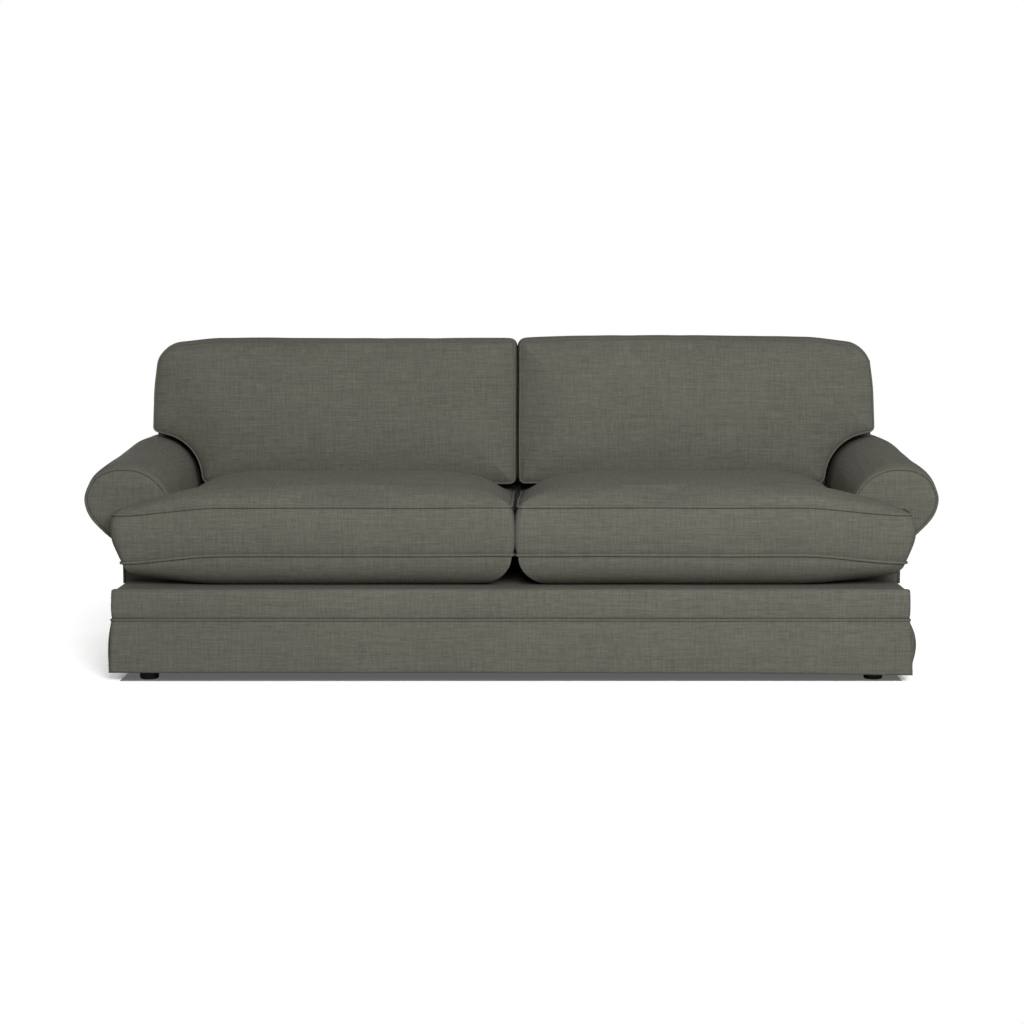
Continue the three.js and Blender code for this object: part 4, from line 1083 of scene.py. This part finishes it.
def dust_cover():
    """Stretched sheet that sags a little, with its corners left out round the feet's blocks."""
    low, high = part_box("dust_cover")
    xs = np.linspace(low.x, high.x, 61)
    ys = np.linspace(low.y, high.y, 27)
    points = []
    for x in xs:
        for y in ys:
            sag = COVER_SAG * math.cos(math.pi * x / (2 * high.x)) * math.cos(math.pi * y / (2 * high.y))
            points.append((x, y, high.z - sag))
    faces = []
    for i in range(len(xs) - 1):
        for j in range(len(ys) - 1):
            middle_x, middle_y = abs(xs[i] + xs[i + 1]) / 2, abs(ys[j] + ys[j + 1]) / 2
            if middle_x > high.x - COVER_NOTCH and middle_y > high.y - COVER_NOTCH:
                continue
            a = i * len(ys) + j
            faces.append((a, a + len(ys), a + len(ys) + 1, a + 1))
    piece = mesh_piece("dust_cover_cloth", points, faces, LINING, closed=False)
    with edited(piece.data) as work:
        bmesh.ops.delete(work, geom=[v for v in work.verts if not v.link_faces], context="VERTS")
        area = sum(f.calc_area() for f in work.faces)
    settle(piece, "frame", "lining", "dust_cover")


dust_cover()


def turned_foot(word, end):
    """Turned foot: an eased tread, a slow taper, a groove below the collar and an eased top."""
    low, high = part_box(f"foot_{end}_{word}")
    x, y = (low.x + high.x) / 2, (low.y + high.y) / 2
    top = high.z
    profile = [(0.0225, 0.0), (0.0242, 0.0006), (0.0254, 0.0018), (0.0260, 0.0036), (0.0268, 0.014),
               (0.0278, 0.028), (0.0291, 0.045), (0.0300, 0.056), (0.0304, 0.0585), (0.0300, 0.0610),
               (0.0306, 0.0640), (0.0316, 0.080), (0.0325, 0.098), (0.0330, top - 0.001), (0.0322, top)]
    angles = 2 * math.pi * np.arange(64) / 64
    rings = [columns(x + r * np.cos(angles), y + r * np.sin(angles), z) for r, z in profile]
    settle(lofted(f"turned_foot_{end}_{word}", rings, LACQUER), "frame", "black_wood", f"foot_{end}_{word}")


for word, _ in SIDES:
    for end in ("front", "rear"):
        turned_foot(word, end)


# Studio

# White ground: its tone, a painted glow that lightens the shadows on it, the painted shadow under the skirt, the
# grey that other rays meet, and where it has faded into the white backdrop
GROUND_REACH = 30.0
GROUND, GROUND_GLOW, GROUND_PAINTED_SHADOW, GROUND_TO_LIGHT = 2.2, 0.11, 0.15, 0.42
PAINTED_SHADOW_WIDTH, PAINTED_SHADOW_DEPTH = 1.085, 0.4506
FADE_START, FADE_END = 1.9, 2.8
SKY_LIGHT = 0.30

# Camera fitted to the photograph, with its focal length in the photograph's pixels
FOCAL_PIXELS, PICTURE_PIXELS, SENSOR_WIDTH = 2239.6, 1024.0, 36.0
CAMERA_PLACE, CAMERA_TILT, CAMERA_SHIFT = (0.0924, FRONT - 6.1023, 1.0893), 0.1005, -0.0315


def ground_material():
    """White ground that keeps the sofa's shadow, with painted shadow over the sofa's footprint and a painted glow
    that lightens its shadows. Light that travels meets a plain grey one.
    """
    g = Graph("studio_floor")
    g.tree.nodes.clear()
    where = g.place()
    x, y, _ = g.split(where)
    # Painted shadow: the ground is darker over the sofa's footprint, under the skirt, where its shadow falls
    in_painted_shadow = [g.math("LESS_THAN", g.math("ABSOLUTE", part), half)
              for part, half in ((x, PAINTED_SHADOW_WIDTH), (y, PAINTED_SHADOW_DEPTH))]
    shades = {"Factor": g.math("MULTIPLY", *in_painted_shadow), "A": grey(GROUND), "B": grey(GROUND_PAINTED_SHADOW)}
    shade = g.add("ShaderNodeMix", shades, data_type="RGBA").outputs["Result"]
    near = g.add("ShaderNodeBsdfDiffuse", {"Color": shade})
    # Painted glow: a faint emission on the ground that lightens the sofa's shadows on it
    glow = g.add("ShaderNodeEmission", {"Color": grey(GROUND_GLOW)})
    lifted = g.add("ShaderNodeAddShader", {0: near.outputs[0], 1: glow.outputs[0]})
    far = g.add("ShaderNodeEmission", {"Color": grey(1.0)})
    distance = g.add("ShaderNodeVectorMath", {0: where}, operation="LENGTH").outputs["Value"]
    fade = g.add("ShaderNodeMapRange", {"Value": distance, "From Min": FADE_START, "From Max": FADE_END})
    shown = g.add("ShaderNodeMixShader", {0: fade.outputs[0], 1: lifted.outputs[0], 2: far.outputs[0]})
    other = g.add("ShaderNodeBsdfDiffuse", {"Color": grey(GROUND_TO_LIGHT)})
    return g.camera_and_light("ShaderNodeOutputMaterial", shown, other)


def sky():
    """White backdrop for the camera, and a plain even light for the sofa."""
    g = Graph("studio", bpy.data.worlds)
    g.tree.nodes.clear()
    shown, lit = (g.add("ShaderNodeBackground", {"Color": grey(1.0), "Strength": strength})
                  for strength in (1.0, SKY_LIGHT))
    return g.camera_and_light("ShaderNodeOutputWorld", shown, lit)


def placed(name, data, place):
    holder = bpy.data.objects.new(name, data)
    holder.location = place
    bpy.context.scene.collection.objects.link(holder)
    return holder


def softbox(name, place, aim, width, height, power):
    lamp = bpy.data.lights.new(name, "AREA")
    lamp.shape = "RECTANGLE"
    lamp.size, lamp.size_y = width, height
    lamp.energy = power
    holder = placed(name, lamp, place)
    holder.rotation_euler = (Vector(aim) - Vector(place)).to_track_quat("-Z", "Y").to_euler()


def studio():
    scene = bpy.context.scene
    scene.view_settings.view_transform = "Standard"
    r = GROUND_REACH
    floor = mesh_piece("studio_floor", [(-r, -r, 0), (r, -r, 0), (r, r, 0), (-r, r, 0)], [(0, 1, 2, 3)],
                       ground_material(), closed=False)
    scene.world = sky()
    softbox("front_softbox", (1.3, -5.9, 2.7), (0, 0, 0.4), 3.6, 2.0, 318.0)
    softbox("rear_softbox", (-1.5, 6.0, 1.2), (0, 0, 0.5), 3.6, 1.6, 110.0)

    camera = bpy.data.cameras.new("camera")
    camera.sensor_fit = "HORIZONTAL"
    camera.sensor_width = SENSOR_WIDTH
    camera.lens = FOCAL_PIXELS / PICTURE_PIXELS * SENSOR_WIDTH
    camera.shift_x = CAMERA_SHIFT
    camera.clip_end = 200.0
    scene.camera = placed("camera", camera, CAMERA_PLACE)
    scene.camera.rotation_euler = (math.pi / 2 - CAMERA_TILT, 0, 0)


studio()
